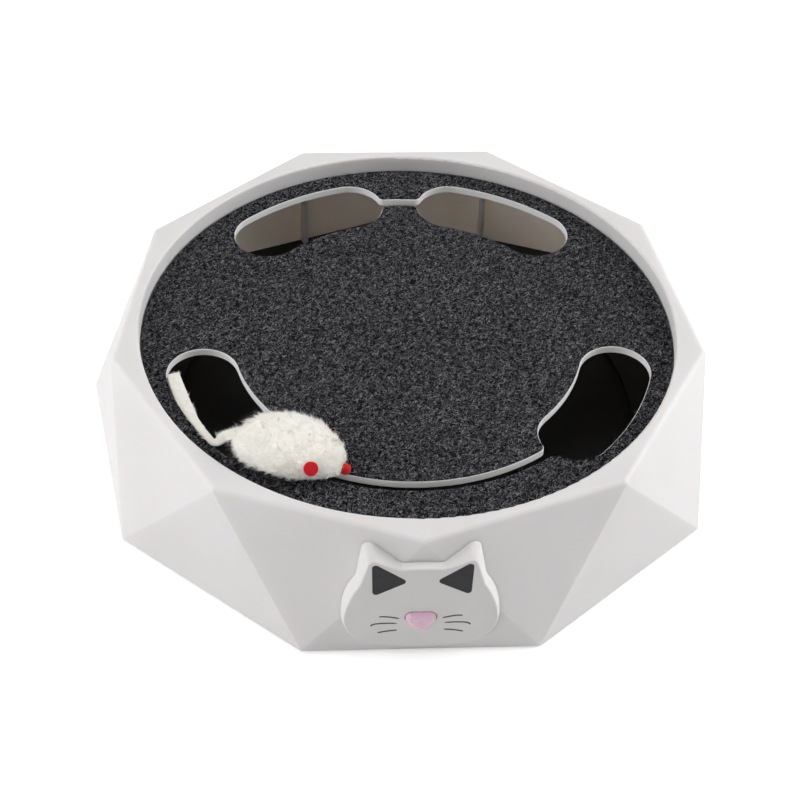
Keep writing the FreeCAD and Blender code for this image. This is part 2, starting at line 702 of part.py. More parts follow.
def second_gear():
    z0, z1 = 27.6, 31.0
    wheel = gear_teeth(SECOND_WHEEL_TEETH, FINE_MODULE, -FINE_SHIFT, z0, z1, PIN_R + RUNNING_GAP,
                       facing_gap(SECOND_WHEEL_TEETH, FIRST_BEARING))
    wheel = dished(wheel, 5.4, 8.2, z0, z1, 0.9)
    pinion = gear_teeth(SECOND_PINION_TEETH, COARSE_MODULE, COARSE_SHIFT, 19.1, z0,
                        PIN_R + RUNNING_GAP, SECOND_BEARING + 180)
    return moved_to(wheel.fuse(pinion), SECOND_AT)


def first_gear():
    z0, z1 = 32.4, 35.4
    wheel = gear_teeth(FIRST_WHEEL_TEETH, FINE_MODULE, -FINE_SHIFT, z0, z1, PIN_R + RUNNING_GAP,
                       facing_gap(FIRST_WHEEL_TEETH, MOTOR_BEARING))
    wheel = dished(wheel, 3.6, 8.2, z0, z1, 0.8)
    pinion = gear_teeth(FIRST_PINION_TEETH, FINE_MODULE, FINE_SHIFT, 26.0, z0,
                        PIN_R + RUNNING_GAP, FIRST_BEARING + 180)
    return moved_to(wheel.fuse(pinion), FIRST_AT)


def motor_pinion():
    pinion = gear_teeth(MOTOR_TEETH, FINE_MODULE, FINE_SHIFT, 31.6, 36.0, PIN_R,
                        MOTOR_BEARING + 180)
    return moved_to(pinion, MOTOR_AT)


# Motor and gearbox casing

MOTOR_R = 10.2
MOTOR_FLAT = 7.7
MOTOR_Z = (7.0, 29.0)


def motor_form(grow, z0, z1):
    flats = box(-30, 30, -MOTOR_FLAT - grow, MOTOR_FLAT + grow, z0, z1)
    form = cyl(MOTOR_R + grow, z0, z1).common(flats)
    form.rotate(V(0, 0, 0), UP, MOTOR_BEARING - 90)
    return moved_to(form, MOTOR_AT)


def motor_can():
    can = motor_form(0, *MOTOR_Z)
    can = can.makeFillet(1.0, [e for e in can.Edges if e.BoundBox.ZMin > MOTOR_Z[1] - 0.01])
    can = can.fuse(cyl(3.0, MOTOR_Z[1], 30.2, MOTOR_AT))
    return can.cut(cyl(PIN_R + RUNNING_GAP, 0, 40, MOTOR_AT))


def motor_end_cap():
    cap = motor_form(-0.3, 5.0, MOTOR_Z[0])
    return cap.cut(cyl(PIN_R + RUNNING_GAP, 5.6, 10, MOTOR_AT))


def motor_shaft():
    return cyl(PIN_R, 5.8, 36.6, MOTOR_AT)


def rounded_block(x, y, z0, z1, r, grow=0.0):
    block = box(x[0] - grow, x[1] + grow, y[0] - grow, y[1] + grow, z0, z1)
    return block.makeFillet(r + grow, upright_edges(block))


def gearbox_base():
    tub = rounded_block(BOX_X, BOX_Y, BOX_FLOOR, BOX_TOP, 5.0)
    tub = tub.cut(rounded_block(BOX_X, BOX_Y, BOX_FLOOR + 2, BOX_TOP + 1, 5.0, -BOX_WALL))
    shelf = box(15.5, BOX_X[1] - 1, 14.5, BOX_Y[1] - 1, 29.1, 31.1)
    posts = [cyl(2.0, 16, 25.8, FIRST_AT), cyl(3.0, 16, 18.9, SECOND_AT), cyl(5.5, 8, 18.4)]
    for corner in box_corners():
        posts.append(cyl(3.4, PLATE_TOP, BOX_TOP, corner))
    base = fuse(tub, shelf, *posts)
    holes = [motor_form(0.15, 4, 29.1), cyl(3.1, 28, 32, MOTOR_AT), cyl(4.6, 26, 32, FIRST_AT),
             cyl(PIN_R + 0.01, 17, 30, FIRST_AT), cyl(PIN_R + 0.01, 16.5, 30, SECOND_AT),
             cyl(AXLE_R + 0.01, 9, 20)]
    for corner in box_corners():
        holes += [cyl(0.95, 4, 13, corner), cyl(0.95, 29, 38, corner)]
    return base.cut(holes)


def gearbox_cover():
    cover = rounded_block(BOX_X, BOX_Y, BOX_TOP, BOX_TOP + COVER_T, 5.0)
    cover = cover.makeFillet(0.8, [e for e in cover.Edges if e.BoundBox.ZMin > BOX_TOP + COVER_T - 0.01])
    lugs = [tube(PIN_R + 0.01, 2.4, BOX_TOP - 0.9, BOX_TOP + 0.1, at) for at in (FIRST_AT, SECOND_AT)]
    holes = [cyl(HUB_R + 0.5, 30, 45), cyl(PIN_R + 0.6, 30, BOX_TOP + 0.6, MOTOR_AT)]
    holes += [cyl(PIN_R + 0.01, 30, BOX_TOP + 1.1, at) for at in (FIRST_AT, SECOND_AT)]
    for corner in box_corners():
        holes += [cyl(1.15, 30, 45, corner), cyl(2.2, BOX_TOP + COVER_T - SCREW_SINK, 45, corner)]
    return fuse(cover, *lugs).cut(holes)


def gear_pins():
    return [cyl(PIN_R, 17.2, BOX_TOP + 1.0, FIRST_AT), cyl(PIN_R, 16.7, BOX_TOP + 1.0, SECOND_AT)]


def centre_axle():
    return cyl(AXLE_R, 9.2, DECK_UNDER - 0.3)


def hub_washer():
    return tube(AXLE_R + RUNNING_GAP, 4.6, 18.4, 19.2)


def cover_screws():
    screws = []
    seat = BOX_TOP + COVER_T - SCREW_SINK
    for corner in box_corners():
        head = cyl(2.0, seat, seat + 1.2, corner)
        head = head.makeFillet(0.5, [e for e in head.Edges if e.BoundBox.ZMin > seat + 1])
        shank = cyl(0.93, 31, seat, corner)
        slot = box(-1.6, 1.6, -0.3, 0.3, seat + 0.7, seat + 6)
        screws.append(head.fuse(shank).cut(moved_to(slot, corner)))
    return screws


def gearbox_screws():
    return [screw(2.5, 1.3, 0.93, 8.5, corner, PLATE_Z + 0.15) for corner in box_corners()]


# Rotor, wire and mouse

def out_along_arm(shape):
    """Turn a shape that is drawn along +X to the arm's direction."""
    shape.rotate(V(0, 0, 0), UP, MOUSE_ANGLE - 90)
    return shape


def rotor_arm():
    z0, z1 = ARM_Z
    outline = [V(-26, -5, z0), V(0, -6.5, z0), V(ARM_TIP_R, -3.6, z0), V(ARM_TIP_R, 3.6, z0),
               V(0, 6.5, z0), V(-26, 5, z0)]
    beam = Part.Face(Part.makePolygon(outline + [outline[0]])).extrude(V(0, 0, z1 - z0))
    beam = beam.makeFillet(2.0, upright_edges(beam))
    recess = [V(14, -4.6, z0 - 1), V(76, -2.4, z0 - 1), V(76, 2.4, z0 - 1), V(14, 4.6, z0 - 1)]
    pocket = Part.Face(Part.makePolygon(recess + [recess[0]])).extrude(V(0, 0, z1 - z0 - 0.4))
    webs = [box(x, x + 1.2, -6, 6, z0, z1 - 1) for x in (28, 44, 60)]
    tip = box(ARM_TIP_R - 10, ARM_TIP_R, -3.6, 3.6, z0, z1 + 1.2)
    weight = cyl(6.4, z0, z1, V(-20, 0, 0))
    hub = cyl(9.5, z0, HUB_TOP)
    arm = fuse(beam.cut(pocket), hub, tip, weight, *webs)
    wire_hole = Part.makeCylinder(WIRE_R + 0.01, 12.5, V(ARM_TIP_R - 12, 0, WIRE_Z), V(1, 0, 0))
    arm = arm.cut([wire_hole, cyl(0.95, WIRE_Z, 50, V(ARM_TIP_R - 5, 0, 0))])
    arm = out_along_arm(arm)
    return arm.cut(hub_form(0.04, 30, 50))


def wire_clamp_screw():
    stud = cyl(0.92, WIRE_Z + WIRE_R + 0.02, ARM_Z[1] + 2.2, V(ARM_TIP_R - 5, 0, 0))
    slot = box(ARM_TIP_R - 7, ARM_TIP_R - 3, -0.2, 0.2, ARM_Z[1] + 1.7, ARM_Z[1] + 3)
    return out_along_arm(stud.cut(slot))


WIRE_TOP = 61.0


def mouse_wire():
    """Spring steel out of the arm, a bend, and straight up through the slot."""
    start = V(ARM_TIP_R - 11, 0, WIRE_Z)
    bend_0 = V(TRACK_R - WIRE_BEND_R, 0, WIRE_Z)
    k = WIRE_BEND_R * math.sin(math.radians(45))
    bend_m = V(TRACK_R - WIRE_BEND_R + k, 0, WIRE_Z + WIRE_BEND_R - k)
    bend_1 = V(TRACK_R, 0, WIRE_Z + WIRE_BEND_R)
    path = Part.Wire([Part.makeLine(start, bend_0), Part.Arc(bend_0, bend_m, bend_1).toShape(),
                      Part.makeLine(bend_1, V(TRACK_R, 0, WIRE_TOP))])
    ring = Part.Wire(Part.Circle(start, V(1, 0, 0), WIRE_R).toShape())
    return out_along_arm(path.makePipeShell([ring], True, False))


def mouse_frame(shape):
    """From the mouse's own axes, nose along +X and felt at zero, to its place on the track."""
    moved = shape.copy()
    moved.rotate(V(0, 0, 0), UP, MOUSE_HEADING)
    moved.translate(V(MOUSE_XY[0], MOUSE_XY[1], FELT_Z + MOUSE_LIFT))
    return moved


# Share of the length from the rump, and share of the full half width
MOUSE_SECTIONS = ((0.0, 0.22), (0.06, 0.5), (0.2, 0.8), (0.4, 0.98), (0.58, 1.0), (0.75, 0.86),
                  (0.9, 0.56), (1.0, 0.24))
CORE_L = 29.0
CORE_R = 5.0
CORE_X = -2.0
CORE_Z = 8.6
NOSE_BALL_R = 2.5
NOSE_BALL_AT = (24.2, 0.0, 3.0)
EYE_R = 3.0
EYE_AT = (13.8, 11.6, 10.9)
EYE_TILT = 52.0
EYE_TURN = 28.0


def mouse_section(share, width):
    """An egg-shaped ring of four arcs, flat-bellied, across the body."""
    x = (share - 0.5) * MOUSE_L
    w = MOUSE_HALF_W * width
    h = MOUSE_HALF_H * (0.25 + 0.75 * width)
    middle = 0.9 * h
    side = [V(x, -w, middle), V(x, w, middle)]
    top, belly = V(x, 0, middle + 1.1 * h), V(x, 0, middle - 0.9 * h)

    def arc(a, b, bulge):
        m = (a + b) / 2 - V(x, 0, middle)
        return Part.Arc(a, V(x, m.y * bulge, middle + m.z * bulge), b).toShape()

    return Part.Wire([arc(side[0], top, 1.4), arc(top, side[1], 1.4),
                      arc(side[1], belly, 1.48), arc(belly, side[0], 1.48)])


def mouse_core_form():
    """A hard capsule along the body."""
    half = CORE_L / 2 - CORE_R
    middle = V(CORE_X - half, 0, CORE_Z)
    ends = [Part.makeSphere(CORE_R, V(CORE_X + way * half, 0, CORE_Z)) for way in (-1, 1)]
    return Part.makeCylinder(CORE_R, 2 * half, middle, V(1, 0, 0)).fuse(ends).removeSplitter()


def eye_form(side):
    disc = Part.makeCylinder(EYE_R, 1.3, V(0, 0, -0.6))
    disc = disc.makeFillet(0.4, [e for e in disc.Edges if e.BoundBox.ZMin > 0.6])
    disc.rotate(V(0, 0, 0), V(1, 0, 0), -side * EYE_TILT)
    disc.rotate(V(0, 0, 0), UP, -side * EYE_TURN)
    disc.translate(V(EYE_AT[0], side * EYE_AT[1], EYE_AT[2]))
    return disc


def nose_form():
    return Part.makeSphere(NOSE_BALL_R, V(*NOSE_BALL_AT))


def wire_bore(grow):
    return cyl(WIRE_R + grow, 40, WIRE_TOP + 0.1, polar(TRACK_R, MOUSE_ANGLE))


def mouse_body():
    loft = Part.makeLoft([mouse_section(s, w) for s, w in MOUSE_SECTIONS], True, False)
    body = loft.cut([mouse_core_form(), eye_form(1), eye_form(-1), nose_form()])
    return mouse_frame(body).cut(wire_bore(0.1))


def mouse_core():
    return mouse_frame(mouse_core_form()).cut(wire_bore(0.02))


def mouse_eyes():
    return [mouse_frame(eye_form(side)) for side in (-1, 1)]


def mouse_nose():
    return mouse_frame(nose_form())


def flat_ring(centre, across, width, thick):
    """A rectangle that stands across a strip's path."""
    side = across * (width / 2)
    rise = V(0, 0, thick / 2)
    corners = [centre - side - rise, centre + side - rise, centre + side + rise,
               centre - side + rise]
    return Part.makePolygon(corners + [corners[0]])


def mouse_tail():
    """A strip inside the lobe, then a ramp up to the rump."""
    z = FELT_Z - TAIL_DROP
    lying = sector(TAIL_R - TAIL_W / 2, TAIL_R + TAIL_W / 2, TAIL_ANGLES[0], TAIL_ANGLES[1],
                   z - TAIL_T / 2, z + TAIL_T / 2)
    bend = polar(TAIL_R, TAIL_ANGLES[1], z)
    radial = polar(1, TAIL_ANGLES[1])
    a = math.radians(MOUSE_HEADING)
    forward = V(math.cos(a), math.sin(a), 0)
    rump = V(MOUSE_XY[0], MOUSE_XY[1], FELT_Z + MOUSE_LIFT + 3.2) - forward * (MOUSE_L / 2 + 0.1)
    ramp = Part.makeLoft([flat_ring(bend, radial, TAIL_W, TAIL_T),
                          flat_ring(rump, V(forward.y, -forward.x, 0) * -1, TAIL_W, TAIL_T)],
                         True, True)
    return lying.fuse(ramp)


# Inner leads

LEAD_R = 0.6
BATTERY_ROUTE = ((-31.0, 62.0, 10.0), (-40.0, 60.5, 9.0), (-48.0, 50.0, 6.4), (-52.0, 10.0, 6.2),
                 (-46.0, -50.0, 6.2), (-26.0, -96.0, 6.4), (-14.0, -110.0, 9.0),
                 (-10.6, -115.2, 11.6))
MOTOR_ROUTE = ((38.0, 25.0, 6.0), (47.0, 24.0, 6.2), (53.0, 8.0, 6.2), (48.0, -50.0, 6.2),
               (28.0, -96.0, 6.4), (14.0, -110.0, 9.0), (9.4, -115.2, 11.6))


def rounded_tube(points, radius):
    """Straight runs joined by arcs, each as large as its two runs allow."""
    edges = []
    here = points[0]
    for before, corner, after in zip(points, points[1:], points[2:]):
        d0 = (corner - before).normalize()
        d1 = (after - corner).normalize()
        turn = d0.getAngle(d1)
        run = min((corner - before).Length, (after - corner).Length)
        back = 0.45 * run
        bend_r = back / math.tan(turn / 2)
        a, b = corner - d0 * back, corner + d1 * back
        inward = (d1 - d0).normalize()
        middle = corner + inward * (bend_r / math.cos(turn / 2) - bend_r)
        edges += [Part.makeLine(here, a), Part.Arc(a, middle, b).toShape()]
        here = b
    edges.append(Part.makeLine(here, points[-1]))
    ring = Part.Wire(Part.Circle(points[0], points[1] - points[0], radius).toShape())
    return Part.Wire(edges).makePipeShell([ring], True, False)


def lead_pair(route):
    """Two leads side by side."""
    first = [V(*p) for p in route]
    second = [p + V(1.5, 1.5, 0) for p in first]
    return [rounded_tube(first, LEAD_R), rounded_tube(second, LEAD_R)]


def battery_leads():
    return lead_pair(BATTERY_ROUTE)


def motor_leads():
    return lead_pair(MOTOR_ROUTE)


NODES = (faceted_shell, deck_panel, felt_pad, bottom_plate, rubber_feet, housing_screws,
         deck_screws, cat_face, ear_inlays, nose_button, switch_plunger, switch_body,
         control_board, board_screws, batteries, battery_contacts, battery_door, battery_leads,
         motor_leads, gearbox_base, gearbox_cover, gearbox_screws, cover_screws, centre_axle,
         hub_washer, gear_pins, output_gear, second_gear, first_gear, motor_pinion, motor_shaft,
         motor_can, motor_end_cap, rotor_arm, wire_clamp_screw, mouse_wire, mouse_core,
         mouse_body, mouse_eyes, mouse_nose, mouse_tail)


def build():
    os.makedirs("parts", exist_ok=True)
    for make in NODES:
        made = make()
        shapes = made if isinstance(made, list) else [made]
        solids = [s for shape in shapes for s in shape.Solids]
        whole = solids[0] if len(solids) == 1 else Part.makeCompound(solids)
        whole.translate(V(0, AXIS_Y, 0))
        if not whole.isValid():
            print("not valid:", make.__name__)
        whole.exportStep("parts/" + make.__name__ + ".step")


build()
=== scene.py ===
import json
import math

import bmesh
import bpy
import numpy as np
from mathutils import Matrix, Vector, geometry, kdtree, noise


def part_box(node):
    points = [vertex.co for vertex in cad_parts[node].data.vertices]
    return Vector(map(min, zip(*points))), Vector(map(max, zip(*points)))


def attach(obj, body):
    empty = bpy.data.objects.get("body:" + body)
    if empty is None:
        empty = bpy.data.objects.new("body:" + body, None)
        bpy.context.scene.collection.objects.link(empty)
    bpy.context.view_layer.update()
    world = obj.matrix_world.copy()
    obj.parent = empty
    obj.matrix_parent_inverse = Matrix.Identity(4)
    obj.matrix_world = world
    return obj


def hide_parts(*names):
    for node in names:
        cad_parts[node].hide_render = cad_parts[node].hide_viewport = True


# The looks of an electric spinning mouse toy: felt, fur, moulded plastic and light round the
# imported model. Metres, in the model's own frame, with +Z up and the cat face towards -Y.

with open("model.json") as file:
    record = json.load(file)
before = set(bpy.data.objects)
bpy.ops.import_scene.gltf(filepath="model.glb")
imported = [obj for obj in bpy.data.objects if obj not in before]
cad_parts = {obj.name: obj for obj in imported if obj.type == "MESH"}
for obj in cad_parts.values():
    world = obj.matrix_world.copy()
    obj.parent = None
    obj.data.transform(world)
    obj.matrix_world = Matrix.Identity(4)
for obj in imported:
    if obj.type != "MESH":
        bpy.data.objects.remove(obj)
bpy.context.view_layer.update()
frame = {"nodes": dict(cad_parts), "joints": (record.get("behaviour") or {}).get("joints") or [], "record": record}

MM = 0.001
# Both sources of chance start in the same way each time
SEED = 7
rng = np.random.default_rng(SEED)
noise.seed_set(SEED)

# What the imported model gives
joints = {j["name"]: j for j in frame["joints"]}
AXIS = Vector((joints["rotor_spin"]["pos_m"][0], joints["rotor_spin"]["pos_m"][1], 0.0))
FELT_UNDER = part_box("felt_pad")[0].z
FELT_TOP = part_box("felt_pad")[1].z
FACE_OUT = -Vector(joints["nose_button_press"]["axis"]).normalized()
FACE_ACROSS = Vector((1.0, 0.0, 0.0))
FACE_UP = FACE_OUT.cross(FACE_ACROSS).normalized()

# Camera, in the photograph's own terms
PHOTO_SIDE = 800
FOCAL_PX = 2018.2
CAMERA_ELEVATION = math.radians(44.0)
CAMERA_ROLL = math.radians(2.159)
TOY_TURN = math.radians(4.318)
CAMERA_DISTANCE = 910.7 * MM
CAMERA_ASIDE = -2.2 * MM
CAMERA_LIFT = 10.7 * MM
# Height of the shell's lower rim above the floor
SHELL_FOOT = 1.0 * MM

# Mouse
MOUSE_AT = Vector((-52.4 * MM, AXIS.y - 76.4 * MM, FELT_TOP + 0.9 * MM))
MOUSE_HEADING = math.radians(-19.5)
MOUSE_LENGTH = 47.2 * MM
MOUSE_HALF_WIDTH = 15.0 * MM
MOUSE_HALF_HEIGHT = 8.7 * MM
# Share of the length from the rump, and share of the full half width
MOUSE_PROFILE = ((0.0, 0.0), (0.015, 0.17), (0.055, 0.42), (0.125, 0.64), (0.2, 0.8), (0.4, 0.98),
                 (0.57, 1.0), (0.74, 0.89), (0.88, 0.64), (0.95, 0.42), (0.985, 0.25), (1.0, 0.0))
EYE_RADIUS = 3.0 * MM
EYE_TURN = math.radians(28)
# Side, place in the mouse's own axes and tilt: the far eye sits a little lower
EYES = ((-1, (13.4 * MM, -12.3 * MM, 10.6 * MM), math.radians(52)),
        (1, (13.9 * MM, 12.0 * MM, 7.1 * MM), math.radians(72)))
NOSE_RADIUS = 2.5 * MM
NOSE_AT = (24.1 * MM, -0.5 * MM, 2.4 * MM)


def mouse_matrix():
    return Matrix.Translation(MOUSE_AT) @ Matrix.Rotation(MOUSE_HEADING, 4, "Z")


# Node materials

# Places of the Mix node's sockets for colours
MIX_SHARE, MIX_A, MIX_B, MIX_RESULT = 0, 6, 7, 2


class Recipe:
    """A procedural material, built call by call. A node's input is a socket or a plain value."""

    def __init__(self, name, **fixed):
        self.material = bpy.data.materials.new(name)
        self.material.use_nodes = True
        self.tree = self.material.node_tree
        self.shader = self.tree.nodes["Principled BSDF"]
        for socket, value in fixed.items():
            self.shader.inputs[socket.replace("_", " ")].default_value = value
        self.place = self.node("ShaderNodeTexCoord", out="Object")

    def node(self, kind, inputs=None, out=0, **settings):
        made = self.tree.nodes.new(kind)
        for key, value in settings.items():
            setattr(made, key, value)
        for key, value in (inputs or {}).items():
            if isinstance(value, bpy.types.NodeSocket):
                self.tree.links.new(value, made.inputs[key])
            else:
                made.inputs[key].default_value = value
        return made.outputs[out]

    def noise(self, size, detail=2.0, roughness=0.5, where=None):
        """Noise whose features are about as large as the size, in metres."""
        inputs = {"Vector": where or self.place, "Scale": 1.0 / size, "Detail": detail,
                  "Roughness": roughness}
        return self.node("ShaderNodeTexNoise", inputs, out="Fac")

    def stretched(self, where, angle, along, across):
        """Coordinates that draw noise out into fibres which lie at an angle."""
        turned = self.node("ShaderNodeMapping", {"Vector": where, "Rotation": (0.0, 0.0, angle)})
        return self.node("ShaderNodeMapping", {"Vector": turned,
                                               "Scale": (1.0 / along, 1.0 / across, 1.0 / across)})

    def warped(self, size, amount):
        """The place, pushed about by soft noise."""
        push = self.node("ShaderNodeTexNoise", {"Vector": self.place, "Scale": 1.0 / size,
                                                "Detail": 1.0}, out="Color")
        middle = self.node("ShaderNodeVectorMath", {0: push, 1: (0.5, 0.5, 0.5)},
                           operation="SUBTRACT")
        scaled = self.node("ShaderNodeVectorMath", {0: middle, "Scale": amount}, operation="SCALE")
        return self.node("ShaderNodeVectorMath", {0: self.place, 1: scaled}, operation="ADD")

    def span(self, value, low, high, to_low=0.0, to_high=1.0):
        """The value, moved smoothly from one range to another and held at the ends."""
        return self.node("ShaderNodeMapRange", {"Value": value, "From Min": low, "From Max": high,
                                                "To Min": to_low, "To Max": to_high},
                         interpolation_type="SMOOTHSTEP")

    def maths(self, operation, a, b=0.0):
        return self.node("ShaderNodeMath", {0: a, 1: b}, operation=operation)

    def mix(self, share, a, b):
        """From colour a to colour b by the share, which is a socket."""
        made = self.tree.nodes.new("ShaderNodeMix")
        made.data_type = "RGBA"
        self.tree.links.new(share, made.inputs[MIX_SHARE])
        for slot, value in ((MIX_A, a), (MIX_B, b)):
            if isinstance(value, bpy.types.NodeSocket):
                self.tree.links.new(value, made.inputs[slot])
            else:
                made.inputs[slot].default_value = (*value, 1.0)
        return made.outputs[MIX_RESULT]

    def axis(self, letter):
        """One coordinate of the place."""
        return self.node("ShaderNodeSeparateXYZ", {"Vector": self.place}, out=letter)

    def attribute(self, name):
        return self.node("ShaderNodeAttribute", out="Fac", attribute_name=name)

    def bump(self, height, depth):
        """A bump of a depth in metres."""
        return self.node("ShaderNodeBump", {"Height": height, "Distance": depth, "Strength": 1.0},
                         out="Normal")

    def use(self, socket, value):
        self.tree.links.new(value, self.shader.inputs[socket])
        return self


# Heights between which the shell's inner side, just under the deck, gets a paler and warmer tone: painted warm
# bounce light in its shade
BELOW_DECK = (48.4 * MM, 47.8 * MM)
# Where the lighter band of the cells' jackets starts, along X
CELL_BAND = (11.8 * MM, 12.0 * MM)
# Directions in which the felt's longer fibres lie
FELT_WAYS = 5


def shell_plastic():
    """White ABS that lets some light in, with a spark-eroded grain. Its inner side carries painted warm bounce
    light, a paler and warmer tone.
    """
    r = Recipe("white_moulded_plastic", Specular_IOR_Level=0.42, Subsurface_Weight=1.0,
               Subsurface_Radius=(1.0, 0.88, 0.8), Subsurface_Scale=3 * MM)
    cloud = r.noise(60 * MM, 3)
    tone = r.mix(r.span(cloud, 0.35, 0.65), (0.817, 0.793, 0.788), (0.85, 0.827, 0.822))
    level = r.node("ShaderNodeVectorMath", {0: r.place, 1: (1.0, 1.0, 0.0)}, operation="MULTIPLY")
    away = r.node("ShaderNodeVectorMath", {0: level}, operation="NORMALIZE")
    outward = r.node("ShaderNodeVectorMath", {0: r.node("ShaderNodeNewGeometry", out="Normal"),
                                              1: away}, out="Value", operation="DOT_PRODUCT")
    # The inner side is the same white plastic: its paler, warmer tone here is painted bounce light.
    inner = r.maths("MULTIPLY", r.span(r.axis("Z"), *BELOW_DECK), r.span(outward, 0.3, 0.1))
    speck = r.noise(0.5 * MM, 1)
    r.use("Base Color", r.mix(inner, tone, (0.98, 0.89, 0.86)))
    r.use("Roughness", r.span(r.noise(14 * MM, 4), 0.3, 0.7, 0.42, 0.54))
    return r.use("Normal", r.bump(speck, 0.018 * MM)).material


def face_plastic():
    """The cat face is moulded in the same white with a flatter grain. Its greyer tone is painted shade."""
    r = Recipe("cat_face_plastic_painted_shade", Specular_IOR_Level=0.35)
    cloud = r.span(r.noise(18 * MM, 3), 0.3, 0.7)
    # Greyer than the shell's tone: painted shade on the same white plastic.
    tone = r.mix(cloud, (0.775, 0.755, 0.745), (0.805, 0.785, 0.775))
    r.use("Base Color", tone)
    r.use("Roughness", r.span(r.noise(6 * MM, 3), 0.3, 0.7, 0.5, 0.6))
    return r.use("Normal", r.bump(r.noise(0.4 * MM, 2), 0.02 * MM)).material


def felt():
    """Charcoal heather felt: a dark mat with paler fibres that lie in every direction."""
    r = Recipe("heather_felt", Specular_IOR_Level=0.03)
    warp = r.warped(2.5 * MM, 3.0 * MM)
    patch = r.span(r.noise(2.1 * MM, 4, 0.75), 0.44, 0.60)
    base = r.mix(patch, (0.001, 0.001, 0.002), (0.052, 0.0525, 0.060))
    height = r.noise(0.7 * MM, 3, 0.7)
    for k in range(FELT_WAYS):
        where = r.stretched(warp, math.pi * k / FELT_WAYS + 0.3, 3.0 * MM, 0.6 * MM)
        strand = r.node("ShaderNodeTexNoise", {"Vector": where, "Scale": 1.0, "Detail": 1.0},
                        out="Fac")
        pale = r.span(strand, 0.59, 0.67)
        tint = ((0.19, 0.19, 0.205), (0.002, 0.002, 0.003), (0.13, 0.132, 0.145),
                (0.26, 0.26, 0.27), (0.003, 0.003, 0.004))[k]
        base = r.mix(r.maths("MULTIPLY", pale, 0.8), base, tint)
        height = r.maths("ADD", height, r.maths("MULTIPLY", pale, 0.5))
    r.use("Base Color", base)
    r.use("Roughness", r.span(patch, 0.0, 1.0, 0.86, 0.97))
    return r.use("Normal", r.bump(height, 0.15 * MM)).material


def felt_fibre():
    """Loose fibres on the felt, some pale and most dark."""
    r = Recipe("felt_fibre", Roughness=0.9, Specular_IOR_Level=0.05)
    tone = r.mix(r.attribute("shade"), (0.004, 0.004, 0.005), (0.52, 0.52, 0.545))
    return r.use("Base Color", tone).material


def fur(name, pale, shadow):
    """White pile: warmer at the roots, with a soft edge."""
    r = Recipe(name, Roughness=0.85, Specular_IOR_Level=0.2, Sheen_Weight=0.3,
               Sheen_Roughness=0.5)
    lock = r.span(r.noise(2.2 * MM, 3, 0.6), 0.3, 0.7)
    tone = r.mix(lock, shadow, pale)
    tone = r.mix(r.attribute("shade"), tone, (0.99, 0.98, 0.945))
    r.use("Base Color", tone)
    return r.use("Normal", r.bump(r.noise(0.5 * MM, 3, 0.7), 0.15 * MM)).material


def red_felt(name, tone, deep):
    r = Recipe(name, Roughness=0.9, Specular_IOR_Level=0.2, Sheen_Weight=0.2)
    fibre = r.noise(0.35 * MM, 3, 0.7)
    r.use("Base Color", r.mix(r.span(fibre, 0.3, 0.7), deep, tone))
    return r.use("Normal", r.bump(fibre, 0.12 * MM)).material


def satin(name, tone, other, size, roughness, grain=0.35 * MM, depth=0.012 * MM, **fixed):
    """A moulded plastic or painted surface with slow colour and gloss changes and a grain."""
    r = Recipe(name, **fixed)
    r.use("Base Color", r.mix(r.span(r.noise(size, 3), 0.3, 0.7), tone, other))
    r.use("Roughness", r.span(r.noise(size / 4, 4), 0.3, 0.7, roughness - 0.06, roughness + 0.06))
    return r.use("Normal", r.bump(r.noise(grain, 2), depth)).material


def metal(name, tone, dull, roughness):
    """Plated or drawn metal with fine lines."""
    r = Recipe(name, Metallic=1.0)
    where = r.node("ShaderNodeMapping", {"Vector": r.place, "Scale": (1.0, 1.0, 12.0)})
    lines = r.noise(1.2 * MM, 4, 0.6, where)
    r.use("Base Color", r.mix(r.span(lines, 0.3, 0.7), tone, dull))
    r.use("Roughness", r.span(lines, 0.3, 0.7, roughness - 0.08, roughness + 0.1))
    return r.use("Normal", r.bump(lines, 0.01 * MM)).material


def board():
    """Solder mask with tracks just under it."""
    r = Recipe("solder_mask", Roughness=0.35)
    tracks = r.node("ShaderNodeTexBrick", {"Vector": r.place, "Scale": 220.0, "Mortar Size": 0.03,
                                           "Color1": (0, 0, 0, 1), "Color2": (0, 0, 0, 1),
                                           "Mortar": (1, 1, 1, 1)}, out="Fac")
    r.use("Base Color", r.mix(tracks, (0.012, 0.09, 0.035), (0.03, 0.17, 0.07)))
    return r.use("Normal", r.bump(tracks, 0.03 * MM)).material


def cell_jacket():
    """Plain shrink jackets: dark, with a lighter band at one end."""
    r = Recipe("cell_jacket", Roughness=0.28)
    band = r.span(r.axis("X"), *CELL_BAND)
    wear = r.noise(3 * MM, 4)
    dark = r.mix(wear, (0.02, 0.022, 0.026), (0.03, 0.032, 0.037))
    r.use("Base Color", r.mix(band, dark, (0.42, 0.36, 0.22)))
    return r.use("Normal", r.bump(r.noise(2 * MM, 2), 0.01 * MM)).material


def ink():
    r = Recipe("whisker_ink", Roughness=0.5)
    r.use("Base Color", r.mix(r.noise(0.8 * MM, 3), (0.022, 0.025, 0.04), (0.04, 0.044, 0.065)))
    return r.use("Normal", r.bump(r.noise(0.2 * MM, 2), 0.01 * MM)).material


